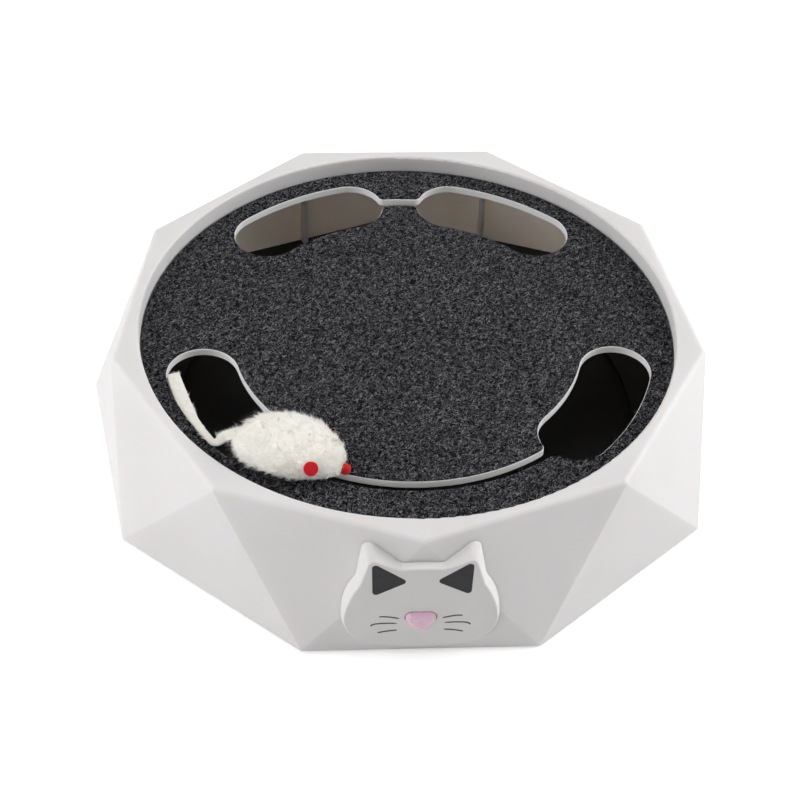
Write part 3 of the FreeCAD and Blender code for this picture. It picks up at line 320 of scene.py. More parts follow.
MATERIALS = {
    "shell_plastic": shell_plastic(),
    "felt": felt(),
    "black_plastic": satin("black_moulded_plastic", (0.007, 0.007, 0.0075),
                           (0.011, 0.011, 0.0115), 40 * MM, 0.5, Specular_IOR_Level=0.3),
    "rubber": satin("foot_rubber", (0.018, 0.018, 0.018), (0.028, 0.028, 0.027), 8 * MM, 0.78,
                    grain=0.25 * MM, depth=0.03 * MM, Specular_IOR_Level=0.25),
    "screw_steel": metal("zinc_steel", (0.62, 0.62, 0.63), (0.48, 0.47, 0.46), 0.34),
    "ear_plastic": satin("ear_inlay", (0.015, 0.0155, 0.018), (0.021, 0.022, 0.025), 6 * MM, 0.6,
                         depth=0.02 * MM, Specular_IOR_Level=0.3),
    "pink_plastic": satin("pink_button", (0.90, 0.55, 0.69), (0.94, 0.60, 0.74), 8 * MM, 0.3,
                          depth=0.006 * MM, Subsurface_Weight=0.15, Coat_Weight=0.4),
    "board_green": board(),
    "cell_jacket": cell_jacket(),
    "contact_metal": metal("contact_nickel", (0.66, 0.64, 0.6), (0.52, 0.5, 0.46), 0.3),
    "lead_jacket": satin("lead_jacket", (0.012, 0.012, 0.013), (0.018, 0.018, 0.02), 10 * MM, 0.5),
    "gearbox_plastic": satin("gearbox_grey", (0.2, 0.205, 0.21), (0.25, 0.255, 0.26), 12 * MM, 0.5),
    "gear_plastic": satin("natural_acetal", (0.72, 0.69, 0.61), (0.78, 0.75, 0.68), 6 * MM, 0.32),
    "brass": metal("turned_brass", (0.74, 0.53, 0.22), (0.6, 0.4, 0.15), 0.3),
    "motor_steel": metal("drawn_can", (0.55, 0.55, 0.56), (0.42, 0.42, 0.42), 0.32),
    "mouse_fur": fur("mouse_hide", (0.96, 0.935, 0.875), (0.88, 0.85, 0.78)),
    "eye_red": red_felt("eye_felt", (0.82, 0.016, 0.028), (0.62, 0.008, 0.016)),
    "nose_red": red_felt("nose_wool", (0.95, 0.03, 0.036), (0.74, 0.012, 0.018)),
}
NODE_LOOKS = {"cat_face": face_plastic(),
              # The deck is the shell's white plastic; its paler tone is painted light on the walls of its
              # openings.
              "deck_panel": satin("deck_white_painted_light", (0.93, 0.928, 0.922), (0.95, 0.948, 0.942), 50 * MM,
                                  0.42)}
FUR_PILE = fur("mouse_pile", (0.97, 0.95, 0.895), (0.88, 0.85, 0.78))
FIBRE = felt_fibre()
INK = ink()
SHARP_ANGLE = math.radians(32)
WELD_GAP = 0.001 * MM


def dress_cad_nodes():
    """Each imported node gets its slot's material, and smooth shading between sharp edges."""
    slots = {s["node"]: s["material_slot"] for s in frame["record"]["subparts"]}
    for name, obj in frame["nodes"].items():
        obj.data.materials.clear()
        obj.data.materials.append(NODE_LOOKS.get(name) or MATERIALS[slots[name]])
        obj.data.polygons.foreach_set("use_smooth", [True] * len(obj.data.polygons))
        if "custom_normal" in obj.data.attributes:
            obj.data.attributes.remove(obj.data.attributes["custom_normal"])
        weld = obj.modifiers.new("weld", "WELD")
        weld.merge_threshold = WELD_GAP
        split = obj.modifiers.new("sharp", "EDGE_SPLIT")
        split.split_angle = SHARP_ANGLE


# Mesh helpers

# Share of a strand's width that is left at its tip, and how unevenly strands twist and shade
STRAND_TIP = 0.35
STRAND_TWIST = 0.5
STRAND_SCATTER = 0.22


def new_piece(name, points, faces, material, body):
    mesh = bpy.data.meshes.new(name)
    mesh.from_pydata([tuple(p) for p in points], [], [tuple(f) for f in faces])
    mesh.validate()
    mesh.materials.append(material)
    mesh.polygons.foreach_set("use_smooth", [True] * len(mesh.polygons))
    piece = bpy.data.objects.new(name, mesh)
    bpy.context.scene.collection.objects.link(piece)
    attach(piece, body)
    return piece


def give_shade(piece, values):
    """One number per point, which the material reads."""
    attribute = piece.data.attributes.new("shade", "FLOAT", "POINT")
    attribute.data.foreach_set("value", np.asarray(values, np.float32))


def unit(v):
    return v / np.maximum(np.linalg.norm(v, axis=-1, keepdims=True), 1e-12)


def strands(name, paths, widths, normals, shades, material, body):
    """Tapered ribbons. paths is (strands, points, 3); widths and shades are one per strand."""
    count, steps, _ = paths.shape
    along = unit(np.gradient(paths, axis=1))
    twist = rng.normal(0, STRAND_TWIST, (count, 1, 3))
    side = unit(np.cross(along, normals[:, None, :] + twist))
    taper = np.linspace(1.0, STRAND_TIP, steps - 1)[None, :, None] * widths[:, None, None] / 2
    left = paths[:, :-1] - side[:, :-1] * taper
    right = paths[:, :-1] + side[:, :-1] * taper
    points = np.concatenate([left, right, paths[:, -1:]], axis=1).reshape(-1, 3)
    per = 2 * (steps - 1) + 1
    first = np.arange(count)[:, None] * per
    faces = []
    for k in range(steps - 2):
        quad = np.array([k, steps - 1 + k, steps + k, k + 1])
        faces += (first + quad).tolist()
    faces += (first + np.array([steps - 2, 2 * steps - 3, 2 * steps - 2])).tolist()
    piece = new_piece(name, points, faces, material, body)
    give_shade(piece, np.repeat(shades, per))
    soft = unit(normals + rng.normal(0, STRAND_SCATTER, (count, 3)))
    piece.data.normals_split_custom_set_from_vertices(np.repeat(soft, per, axis=0).tolist())
    return piece


def scatter(points, triangles, count):
    """Random places on triangles, by area: the places, the triangle of each, and its weights."""
    corners = points[triangles]
    area = np.linalg.norm(np.cross(corners[:, 1] - corners[:, 0], corners[:, 2] - corners[:, 0]),
                          axis=1)
    chosen = rng.choice(len(triangles), count, p=area / area.sum())
    a, b = rng.random((2, count))
    flip = a + b > 1
    a[flip], b[flip] = 1 - a[flip], 1 - b[flip]
    weights = np.stack([1 - a - b, a, b], axis=1)
    return (corners[chosen] * weights[:, :, None]).sum(1), chosen, weights


def mesh_arrays(obj):
    """The object's points, normals and triangles as arrays."""
    mesh = obj.data
    mesh.calc_loop_triangles()
    points = np.zeros(len(mesh.vertices) * 3)
    mesh.vertices.foreach_get("co", points)
    normals = np.zeros(len(mesh.vertices) * 3)
    mesh.vertices.foreach_get("normal", normals)
    triangles = np.zeros(len(mesh.loop_triangles) * 3, int)
    mesh.loop_triangles.foreach_get("vertices", triangles)
    return points.reshape(-1, 3), normals.reshape(-1, 3), triangles.reshape(-1, 3)


# Felt mat

FELT_STEP = 1.1 * MM
FELT_GRID = 2.2 * MM
FELT_EDGE = 0.35 * MM
# How far the cut edges reach over the deck's raised lips, which stand just under the felt's top
LIP_COVER = 0.42 * MM
# How far the rim is drawn in from the pad's outline, and how much every edge wavers
RIM_BACK = 0.05 * MM
EDGE_WAVER = 0.07 * MM
# Rows of a cut edge below its brink: how far back and how deep, in millimetres
FELT_EDGE_ROWS = ((0.10, 0.12), (0.0, 0.3), (0.0, 0.44), (0.5, 0.46), (0.5, 1.6))
# Slow waves of the felt's top: size in millimetres, place in the noise, height in millimetres
FELT_WAVES = ((9, 0.0, 0.06), (2.6, 5.0, 0.07))
# Points whose distances are worked out at once
CHUNK = 4000


def top_outlines(node, z):
    """The closed outlines of a node's flat top, each as points in order."""
    mesh = frame["nodes"][node].data
    keys, places = {}, []

    def key(index):
        co = mesh.vertices[index].co
        name = (round(co.x / 1e-6), round(co.y / 1e-6))
        if name not in keys:
            keys[name] = len(places)
            places.append((co.x, co.y))
        return keys[name]

    edges = {}
    for face in mesh.polygons:
        if face.normal.z < 0.9 or abs(mesh.vertices[face.vertices[0]].co.z - z) > 1e-5:
            continue
        ring = [key(i) for i in face.vertices]
        for a, b in zip(ring, ring[1:] + ring[:1]):
            if (b, a) in edges:
                del edges[(b, a)]
            else:
                edges[(a, b)] = True
    follow = dict(edges.keys())
    loops = []
    while follow:
        start, here = follow.popitem()
        loop = [start]
        while here != start:
            loop.append(here)
            here = follow.pop(here)
        loops.append(np.array([places[i] for i in loop]))
    return sorted(loops, key=lambda loop: -np.ptp(loop[:, 0]) * np.ptp(loop[:, 1]))


def smooth_closed(points, step):
    """A closed curve through points, cut into even steps. Knots follow the chords' root."""
    count = len(points)
    chord = np.linalg.norm(np.roll(points, -1, axis=0) - points, axis=1)
    knots = np.sqrt(chord)
    fine = []
    for k in range(count):
        p0, p1, p2, p3 = (points[(k + j) % count] for j in (-1, 0, 1, 2))
        t1 = knots[k - 1]
        t2 = t1 + knots[k]
        t3 = t2 + knots[(k + 1) % count]
        for t in np.linspace(t1, t2, max(2, int(chord[k] / step * 4)), endpoint=False):
            a1 = (t1 - t) / t1 * p0 + t / t1 * p1
            a2 = (t2 - t) / (t2 - t1) * p1 + (t - t1) / (t2 - t1) * p2
            a3 = (t3 - t) / (t3 - t2) * p2 + (t - t2) / (t3 - t2) * p3
            b1 = (t2 - t) / t2 * a1 + t / t2 * a2
            b2 = (t3 - t) / (t3 - t1) * a2 + (t - t1) / (t3 - t1) * a3
            fine.append((t2 - t) / (t2 - t1) * b1 + (t - t1) / (t2 - t1) * b2)
    fine = np.array(fine)
    gaps = np.linalg.norm(np.roll(fine, -1, axis=0) - fine, axis=1)
    length = np.concatenate([[0], np.cumsum(gaps)])
    even = np.linspace(0, length[-1], max(8, int(length[-1] / step)), endpoint=False)
    closed = np.vstack([fine, fine[:1]])
    return np.stack([np.interp(even, length, closed[:, axis]) for axis in (0, 1)], axis=1)


def inside(points, loop):
    """Which points lie inside a closed outline."""
    x, y = points[:, 0], points[:, 1]
    found = np.zeros(len(points), bool)
    for (x0, y0), (x1, y1) in zip(loop, np.roll(loop, -1, axis=0)):
        if y0 == y1:
            continue
        crosses = (y0 > y) != (y1 > y)
        found ^= crosses & (x < (x1 - x0) * (y - y0) / (y1 - y0) + x0)
    return found


def into_material(loop, outer):
    """Unit steps from an outline into the felt, whichever way the outline runs."""
    ahead = unit(np.roll(loop, -1, axis=0) - np.roll(loop, 1, axis=0))
    normal = np.stack([-ahead[:, 1], ahead[:, 0]], axis=1)
    hits = inside(loop + normal * 0.2 * MM, loop).mean() > 0.5
    return normal if hits == outer else -normal


def between(points, brinks):
    """Which points lie inside the first outline and outside all the others."""
    keep = inside(points, brinks[0])
    for loop in brinks[1:]:
        keep &= ~inside(points, loop)
    return keep


def inner_grid(brinks, low, high):
    """An uneven grid of points between the outlines, none of them close to one."""
    xs, ys = (np.arange(low[k], high[k], FELT_GRID) for k in (0, 1))
    grid = np.stack(np.meshgrid(xs, ys), axis=-1).reshape(-1, 2)
    grid = grid + rng.uniform(-0.3, 0.3, grid.shape) * FELT_GRID
    grid = grid[between(grid, brinks)]
    gap = np.full(len(grid), np.inf)
    for loop in brinks:
        for chunk in range(0, len(grid), CHUNK):
            part = grid[chunk:chunk + CHUNK, None, :] - loop[None]
            gap[chunk:chunk + CHUNK] = np.minimum(gap[chunk:chunk + CHUNK],
                                                  np.sqrt((part ** 2).sum(-1)).min(1))
    return grid[gap > 0.6 * FELT_STEP]


def even_net(brinks, grid):
    """Places, the triangles between the outlines, and the place of each outline's point."""
    flat = np.vstack(brinks + [grid])
    edges, first = [], 0
    for loop in brinks:
        count = len(loop)
        edges += [(first + k, first + (k + 1) % count) for k in range(count)]
        first += count
    made = geometry.delaunay_2d_cdt([Vector(p) for p in flat / MM], edges, [], 0, 1e-5)
    places = np.array([tuple(p) for p in made[0]]) * MM
    centres = np.array([places[list(t)].mean(0) for t in made[2]])
    triangles = [t for t, kept in zip(made[2], between(centres, brinks)) if kept]
    index = {ids[0]: k for k, ids in enumerate(made[3]) if ids}
    return places, triangles, index


def felt_mat():
    """The felt, triangulated evenly inside its outlines, with soft cut edges."""
    outlines = [smooth_closed(o, FELT_STEP) for o in top_outlines("felt_pad", FELT_TOP)]
    inward = [into_material(loop, k == 0) for k, loop in enumerate(outlines)]
    wobble = [np.array([noise.noise(Vector((*p, 0.0)) / (2.4 * MM)) for p in loop])
              for loop in outlines]
    outlines = [loop + way * ((-LIP_COVER if k else RIM_BACK) + EDGE_WAVER * w[:, None])
                for k, (loop, way, w) in enumerate(zip(outlines, inward, wobble))]
    brinks = [loop + way * FELT_EDGE for loop, way in zip(outlines, inward)]
    low, high = outlines[0].min(0), outlines[0].max(0)
    places, triangles, index = even_net(brinks, inner_grid(brinks, low, high))
    points, faces = [], []
    count = len(places)
    for x, y in places:
        rise = sum(noise.noise(Vector((x, y, z)) / (size * MM)) * height * MM
                   for size, z, height in FELT_WAVES)
        points.append((x, y, FELT_TOP - 0.08 * MM + rise))
    points += [(x, y, FELT_UNDER) for x, y in places]
    for a, b, c in triangles:
        up = np.cross(places[b] - places[a], places[c] - places[a]) > 0
        faces.append((a, b, c) if up else (a, c, b))
        faces.append((count + a, count + c, count + b) if up else (count + a, count + b, count + c))
    first = 0
    for loop, way in zip(outlines, inward):
        n = len(loop)
        rows = [[index[first + k] for k in range(n)]]
        for back, depth in FELT_EDGE_ROWS:
            rows.append([len(points) + k for k in range(n)])
            points += [(*(p + w * back * MM), FELT_TOP - depth * MM) for p, w in zip(loop, way)]
        rows.append([count + i for i in rows[0]])
        for above, below in zip(rows, rows[1:]):
            for k in range(n):
                faces.append((above[k], above[(k + 1) % n], below[(k + 1) % n], below[k]))
        first += n
    piece = new_piece("felt_mat", points, faces, MATERIALS["felt"], "base")
    used = bpy.data.meshes.new("felt_mat")
    bm = bmesh.new()
    bm.from_mesh(piece.data)
    bmesh.ops.delete(bm, geom=[v for v in bm.verts if not v.link_faces], context="VERTS")
    bmesh.ops.recalc_face_normals(bm, faces=bm.faces)
    bm.to_mesh(used)
    bm.free()
    used.materials.append(MATERIALS["felt"])
    piece.data = used
    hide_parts("felt_pad")
    return piece, outlines, inward


FUZZ_COUNT = 18000
EDGE_FUZZ_PER_MM = 3.0


def felt_fuzz(mat):
    """Single fibres that have worked loose and lie as flat curls on the top."""
    points, _, triangles = mesh_arrays(mat)
    top = triangles[points[triangles][:, :, 2].min(1) > FELT_TOP - 0.4 * MM]
    root, _, _ = scatter(points, top, FUZZ_COUNT)
    angle = rng.uniform(0, 2 * math.pi, FUZZ_COUNT)
    bend = rng.normal(0, 0.9, FUZZ_COUNT)
    length = rng.uniform(0.9, 2.8, FUZZ_COUNT) * MM
    lift = rng.uniform(0.02, 0.30, FUZZ_COUNT) * MM
    t = np.linspace(0, 1, 5)
    turn = angle[:, None] + bend[:, None] * t[None]
    step = length[:, None] / 4
    x = np.cumsum(np.cos(turn) * step, axis=1) - np.cos(turn[:, :1]) * step
    y = np.cumsum(np.sin(turn) * step, axis=1) - np.sin(turn[:, :1]) * step
    z = np.sin(t * math.pi)[None] * lift[:, None] + 0.02 * MM
    paths = root[:, None, :] + np.stack([x, y, z * np.ones_like(x)], axis=-1)
    up = np.tile([0.0, 0.0, 1.0], (FUZZ_COUNT, 1))
    shades = rng.random(FUZZ_COUNT) ** 3.5
    strands("felt_fuzz", paths, rng.uniform(0.09, 0.19, FUZZ_COUNT) * MM, up, shades, FIBRE,
            "base")


def felt_edge_fuzz(outlines, inward):
    """Short ends of fibres at the cuts."""
    roots, ways = [], []
    for loop, way in zip(outlines, inward):
        gaps = np.linalg.norm(np.roll(loop, -1, axis=0) - loop, axis=1)
        pick = rng.choice(len(loop), int(gaps.sum() / MM * EDGE_FUZZ_PER_MM))
        slide = rng.random((len(pick), 1))
        roots.append(loop[pick] * (1 - slide) + loop[(pick + 1) % len(loop)] * slide)
        ways.append(-way[pick])
    roots, ways = np.vstack(roots), np.vstack(ways)
    count = len(roots)
    z = FELT_TOP - rng.uniform(0.1, 1.5, count) * MM
    way = np.column_stack([ways, rng.normal(0.1, 0.6, count)]) + rng.normal(0, 0.6, (count, 3))
    way = unit(way) * (rng.uniform(0.25, 0.8, (count, 1)) * MM)
    t = np.linspace(0, 1, 4)[None, :, None]
    root = np.column_stack([roots - ways * 0.1 * MM, z])
    sag = rng.normal(0, 0.12, (count, 1, 3)) * MM * t * t
    paths = root[:, None, :] + way[:, None, :] * t + sag
    strands("felt_edge_fuzz", paths, np.full(count, 0.05 * MM),
            np.tile([0.0, 0.0, 1.0], (count, 1)), rng.random(count) ** 2.5, FIBRE, "base")


# Mouse

def profile_at(share):
    """The half width at a share of the length, along a smooth line through the profile."""
    xs, ys = zip(*MOUSE_PROFILE)
    knots = np.array(xs)
    share = float(np.clip(share, 0, 1))
    k = int(np.clip(np.searchsorted(knots, share) - 1, 0, len(xs) - 2))
    t = (share - xs[k]) / (xs[k + 1] - xs[k])

    def slope(i):
        if i in (0, len(xs) - 1):
            j = min(i, len(xs) - 2)
            return (ys[j + 1] - ys[j]) / (xs[j + 1] - xs[j])
        return (ys[i + 1] - ys[i - 1]) / (xs[i + 1] - xs[i - 1])

    gap = xs[k + 1] - xs[k]
    return (ys[k] * (2 * t ** 3 - 3 * t ** 2 + 1) + gap * slope(k) * (t ** 3 - 2 * t ** 2 + t)
            + ys[k + 1] * (3 * t ** 2 - 2 * t ** 3) + gap * slope(k + 1) * (t ** 3 - t ** 2))


def mouse_point(share, around):
    """A point of the hide in the mouse's own axes. The belly is flatter than the back."""
    width = max(profile_at(share), 0.0)
    half_w = MOUSE_HALF_WIDTH * width
    half_h = MOUSE_HALF_HEIGHT * (0.25 * min(1.0, width * 4) + 0.75 * width)
    middle = 0.25 * MOUSE_HALF_HEIGHT * 0.9 + 0.75 * MOUSE_HALF_HEIGHT * 0.9 * width
    c, s = math.cos(around), math.sin(around)
    power = 0.92
    y = math.copysign(abs(c) ** power, c) * half_w
    z = math.copysign(abs(s) ** power, s) * half_h * (1.1 if s > 0 else 0.85)
    return Vector(((share - 0.5) * MOUSE_LENGTH, y, middle + z))


def mouse_hide():
    """The stuffed body under the pile."""
    rings, sides = 60, 48
    points, faces = [], []
    for i in range(1, rings):
        share = (1 - math.cos(math.pi * i / rings)) / 2
        for j in range(sides):
            p = mouse_point(share, 2 * math.pi * j / sides)
            lump = noise.noise(p / (6 * MM)) * 0.35 * MM + noise.noise(p / (2 * MM)) * 0.12 * MM
            centre = Vector((p.x, 0.0, MOUSE_HALF_HEIGHT * 0.6))
            points.append(p + (p - centre).normalized() * lump)
    for i in range(rings - 2):
        for j in range(sides):
            k = (j + 1) % sides
            faces.append((i * sides + j, i * sides + k, (i + 1) * sides + k, (i + 1) * sides + j))
    for share, row in ((0.0, 0), (1.0, (rings - 2) * sides)):
        points.append(mouse_point(share, 0.0))
        tip = len(points) - 1
        for j in range(sides):
            ring = (row + j, row + (j + 1) % sides)
            faces.append((*(ring if share else ring[::-1]), tip))
    place = mouse_matrix()
    points = [place @ Vector(p) for p in points]
    piece = new_piece("mouse_hide", points, faces, MATERIALS["mouse_fur"], "rotor")
    give_shade(piece, np.zeros(len(points)))
    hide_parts("mouse_body")
    return piece


PILE_COUNT = 44000
PILE_LOCKS = 2200
LOCK_SIZE = 5.0 * MM
# Fur lets light through to its lower side, so its hairs shade as if they faced more upwards
PILE_GLOW = np.array([0.0, 0.0, 0.6])


def pile_on(name, piece, count, back, reach, locks, bare, lay, width):
    """Short hairs on a hide. They lie back and gather into small pointed locks.

    reach gives the hairs' length at their roots, and width is in millimetres."""
    points, normals, triangles = mesh_arrays(piece)
    root, chosen, weights = scatter(points, triangles, count + locks)
    up = unit((normals[triangles[chosen]] * weights[:, :, None]).sum(1))
    back = np.array(back)
    flat = unit(back - up * (up @ back)[:, None])
    lean = np.array([noise.noise_vector(Vector(p) / LOCK_SIZE) for p in root])
    flow = unit(up * (1 - lay) + flat * lay + lean * 0.7 + rng.normal(0, 0.22, (len(root), 3)))
    tree = kdtree.KDTree(locks)
    for k in range(locks):
        tree.insert(root[k], k)
    tree.balance()
    keep = np.arange(count + locks) >= locks
    for centre, radius in bare:
        keep &= np.linalg.norm(root - np.array(centre), axis=1) > radius
    near = np.array([tree.find(p)[1] for p in root[keep]])
    own, tall = rng.normal(0, 0.25, locks), 0.45 + 0.95 * rng.random(locks) ** 1.6
    gather, aim = (root[near] - root[keep])[:, None, :], flow[near]
    root, up, flat, flow = root[keep], up[keep], flat[keep], flow[keep]
    count = len(root)
    way = unit(flow * 0.4 + aim * 0.6)
    length = reach(root) * tall[near] * rng.uniform(0.75, 1.1, count)
    t = np.linspace(0, 1, 4)[None, :, None]
    paths = (root - up * 0.15 * MM)[:, None, :] + gather * 0.7 * t * t + length[:, None, None] * (
        way[:, None, :] * t + (flat * 0.25 + rng.normal(0, 0.2, (count, 3)))[:, None, :] * t * t)
    shades = np.clip(0.5 + own[near] + rng.normal(0, 0.2, count), 0, 1)
    pile = strands(name, paths, width * MM * rng.uniform(0.7, 1.3, count), up + PILE_GLOW, shades,
                   FUR_PILE, "rotor")
    pile.visible_shadow = False


def mouse_pile(hide):
    """The coat: full on the back, short at the snout, bare under the eyes and nose."""
    place = mouse_matrix()
    to_mouse = np.array(place.inverted())
    back = place.to_3x3() @ Vector((-1.0, 0.0, 0.0))

    def reach(roots):
        local = roots @ to_mouse[:3, :3].T + to_mouse[:3, 3]
        share = local[:, 0] / MOUSE_LENGTH + 0.5
        return np.interp(share, (0.0, 0.15, 0.6, 0.85, 1.0), (1.7, 2.1, 1.8, 1.6, 1.2)) * MM

    bare = [(place @ (Vector(at) + Vector((0.7 * MM, 0.0, 0.0))), EYE_RADIUS * 1.1)
            for _, at, _ in EYES]
    bare.append((place @ Vector(NOSE_AT), NOSE_RADIUS * 1.1))
    pile_on("mouse_pile", hide, PILE_COUNT, back, reach, PILE_LOCKS, bare, lay=0.45, width=0.13)


STRAY_TRIES = 2600


def stray_hairs(hide):
    """A few longer hairs that stand off the rump and the back."""
    points, normals, triangles = mesh_arrays(hide)
    place = mouse_matrix()
    inverse = np.array(place.inverted())
    root, chosen, weights = scatter(points, triangles, STRAY_TRIES)
    local = root @ inverse[:3, :3].T + inverse[:3, 3]
    share = local[:, 0] / MOUSE_LENGTH + 0.5
    keep = (rng.random(len(root)) < np.interp(share, (0, 0.25, 1), (0.5, 0.16, 0.06)))
    keep &= local[:, 2] > 2 * MM
    up = unit((normals[triangles[chosen]] * weights[:, :, None]).sum(1))
    root, up = root[keep], up[keep]
    count = len(root)
    back = np.array(place.to_3x3() @ Vector((-1.0, 0.0, 0.0)))
    way = unit(up * 0.8 + back * 0.7 + rng.normal(0, 0.45, (count, 3)))
    curl = rng.normal(0, 0.4, (count, 3)) + back * 0.3
    length = rng.uniform(2.2, 4.6, count) * MM
    t = np.linspace(0, 1, 5)[None, :, None]
    paths = root[:, None, :] + length[:, None, None] * (way[:, None, :] * t
                                                        + curl[:, None, :] * t * t * 0.5)
    strands("stray_hairs", paths, np.full(count, 0.11 * MM), up, rng.random(count), FUR_PILE,
            "rotor")


def lathe(profile, sides):
    """Points and faces of a form turned about +Z. The profile runs from the axis to the axis."""
    points, faces = [(0.0, 0.0, profile[0][1])], []
    for r, z in profile[1:-1]:
        points += [(r * math.cos(2 * math.pi * j / sides), r * math.sin(2 * math.pi * j / sides), z)
                   for j in range(sides)]
    points.append((0.0, 0.0, profile[-1][1]))
    rings = len(profile) - 2
    last = len(points) - 1
    for j in range(sides):
        k = (j + 1) % sides
        faces.append((0, 1 + k, 1 + j))
        faces.append((last, last - sides + j, last - sides + k))
        for i in range(rings - 1):
            a = 1 + i * sides
            faces.append((a + j, a + k, a + sides + k, a + sides + j))
    return points, faces


EYE_THICK = 1.0 * MM
EYE_SINK = 1.1 * MM
EYE_RIM = 0.4 * MM
EYE_CROWN = 0.12 * MM


def mouse_eyes():
    """Two punched discs of red felt with soft rims, sunk into the hide."""
    profile = [(0.0, -EYE_SINK), (EYE_RADIUS * 0.94, -EYE_SINK)]
    for k in range(9):
        a = math.pi / 2 * k / 8
        profile.append((EYE_RADIUS - EYE_RIM * (1 - math.cos(a)), EYE_THICK - 0.55 * MM
                        + EYE_RIM * math.sin(a)))
    profile += [(EYE_RADIUS * f, EYE_THICK - 0.15 * MM + EYE_CROWN * (1 - f * f))
                for f in (0.7, 0.5, 0.3, 0.12)]
    profile.append((0.0, EYE_THICK - 0.03 * MM))
    disc, disc_faces = lathe(profile, 56)
    points, faces = [], []
    for side, at, tilt in EYES:
        turn = (Matrix.Translation(at) @ Matrix.Rotation(-side * EYE_TURN, 4, "Z")
                @ Matrix.Rotation(-side * tilt, 4, "X"))
        place = mouse_matrix() @ turn
        first = len(points)
        for p in disc:
            q = Vector(p)
            ragged = noise.noise(Vector((q.x, q.y, side)) / (1.3 * MM))
            q += Vector((q.x, q.y, 0.0)) * 0.035 * ragged
            q.z += 0.05 * MM * noise.noise(q / (0.5 * MM))
            points.append(place @ q)
        faces += [tuple(first + i for i in f) for f in disc_faces]
    piece = new_piece("eye_discs", points, faces, MATERIALS["eye_red"], "rotor")
    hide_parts("mouse_eyes")


NOSE_WOOL_COUNT = 1500


def mouse_nose():
    """A small wool ball, and the short wool ends that stand out of it."""
    rows, sides = 26, 36
    turns = [math.pi * i / rows for i in range(rows + 1)]
    profile = [(NOSE_RADIUS * math.sin(a), -NOSE_RADIUS * math.cos(a)) for a in turns]
    ball, faces = lathe(profile, sides)
    place = mouse_matrix() @ Matrix.Translation(Vector(NOSE_AT))
    points = []
    for p in ball:
        q = Vector(p) * 0.93
        q += q.normalized() * 0.14 * MM * noise.noise(q / (0.8 * MM))
        points.append(place @ q)
    piece = new_piece("nose_ball", points, faces, MATERIALS["nose_red"], "rotor")
    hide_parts("mouse_nose")
    points, normals, triangles = mesh_arrays(piece)
    count = NOSE_WOOL_COUNT
    root, chosen, weights = scatter(points, triangles, count)
    up = unit((normals[triangles[chosen]] * weights[:, :, None]).sum(1))
    way = unit(up + rng.normal(0, 0.8, (count, 3)))
    t = np.linspace(0, 1, 3)[None, :, None]
    paths = root[:, None, :] + way[:, None, :] * t * (rng.uniform(0.3, 0.6, (count, 1, 1)) * MM)
    strands("nose_wool", paths, np.full(count, 0.07 * MM), up, rng.random(count),
            MATERIALS["nose_red"], "rotor")


# Tail: a strip of the same fur, from the rump to the felt's edge and on along the lobe's outer side

TAIL_PILE_COUNT = 7000
TAIL_LOCKS = 420
TAIL_STEPS = 60
# Step at which the strip leaves the rump
TAIL_ROOT_END = 8
TAIL_THICK = 1.1 * MM
TAIL_LIFT = 0.75 * MM
# Angle about the axis, radius and width, from the fold to the tip, with the outer edge on the felt
TAIL_LINE = ((-50.7, 106.8, 3.2), (-53.3, 106.4, 3.0), (-56.7, 106.1, 3.4), (-60.1, 105.8, 3.9),
             (-64.2, 105.2, 5.2), (-69.2, 104.6, 5.8), (-73.2, 104.3, 5.8), (-76.2, 104.1, 5.2))
# Place in the mouse's own axes and width, from inside the rump to near the fold
TAIL_ROOT = (((-19.5, 2.6, 5.0), 8.6), ((-24.6, 4.0, 3.2), 7.4), ((-29.6, 3.6, 0.4), 6.2))


def tail_frame():
    """Centres, widths, sides and normals along the strip, at even steps."""
    line = [(*(mouse_matrix() @ (Vector(at) * MM)), width * MM) for at, width in TAIL_ROOT]
    for degrees, r, width in TAIL_LINE:
        turn = math.radians(degrees)
        line.append((math.sin(turn) * r * MM, AXIS.y - math.cos(turn) * r * MM,
                     FELT_TOP + TAIL_LIFT, width * MM))
    line = np.array(line)
    length = np.concatenate([[0], np.cumsum(np.linalg.norm(np.diff(line[:, :3], axis=0), axis=1))])
    even = np.linspace(0, length[-1], TAIL_STEPS)
    centres = np.stack([np.interp(even, length, line[:, k]) for k in range(4)], axis=1)
    for _ in range(4):
        centres[1:-1] = (centres[:-2] + 2 * centres[1:-1] + centres[2:]) / 4
    centres, widths = centres[:, :3], centres[:, 3]
    ahead = unit(np.gradient(centres, axis=0))
    side = unit(np.cross(ahead, [0.0, 0.0, 1.0]))
    return centres, widths, side, np.cross(side, ahead)


def mouse_tail():
    """The strip with rounded edges, and its pile, which lies towards the tip."""
    centres, widths, side, up = tail_frame()
    across = 12
    points, faces = [], []
    for i in range(len(centres)):
        for j in range(across):
            a = 2 * math.pi * j / across
            c, s = math.cos(a), math.sin(a)
            y = math.copysign(abs(c) ** 0.6, c) * widths[i] / 2
            z = math.copysign(abs(s) ** 0.8, s) * TAIL_THICK / 2
            p = centres[i] + side[i] * y + up[i] * z
            lump = noise.noise(Vector(p) / (2 * MM)) * 0.12 * MM
            points.append(p + up[i] * lump)
    for i in range(len(centres) - 1):
        for j in range(across):
            k = (j + 1) % across
            a, b = i * across, (i + 1) * across
            faces.append((a + j, a + k, b + k, b + j))
    faces.append(tuple(range(across))[::-1])
    last = (len(centres) - 1) * across
    faces.append(tuple(last + j for j in range(across)))
    piece = new_piece("tail_strip", points, [f[::-1] for f in faces], MATERIALS["mouse_fur"],
                      "rotor")
    give_shade(piece, np.zeros(len(points)))
    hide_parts("mouse_tail")
    back = centres[-1] - centres[TAIL_ROOT_END]
    pile_on("tail_pile", piece, TAIL_PILE_COUNT, back / np.linalg.norm(back),
            lambda roots: np.full(len(roots), 1.6 * MM), TAIL_LOCKS, bare=(), lay=0.6, width=0.1)


# Whiskers: printed lines on the cat face, in its own plane, across and up from its lower edge

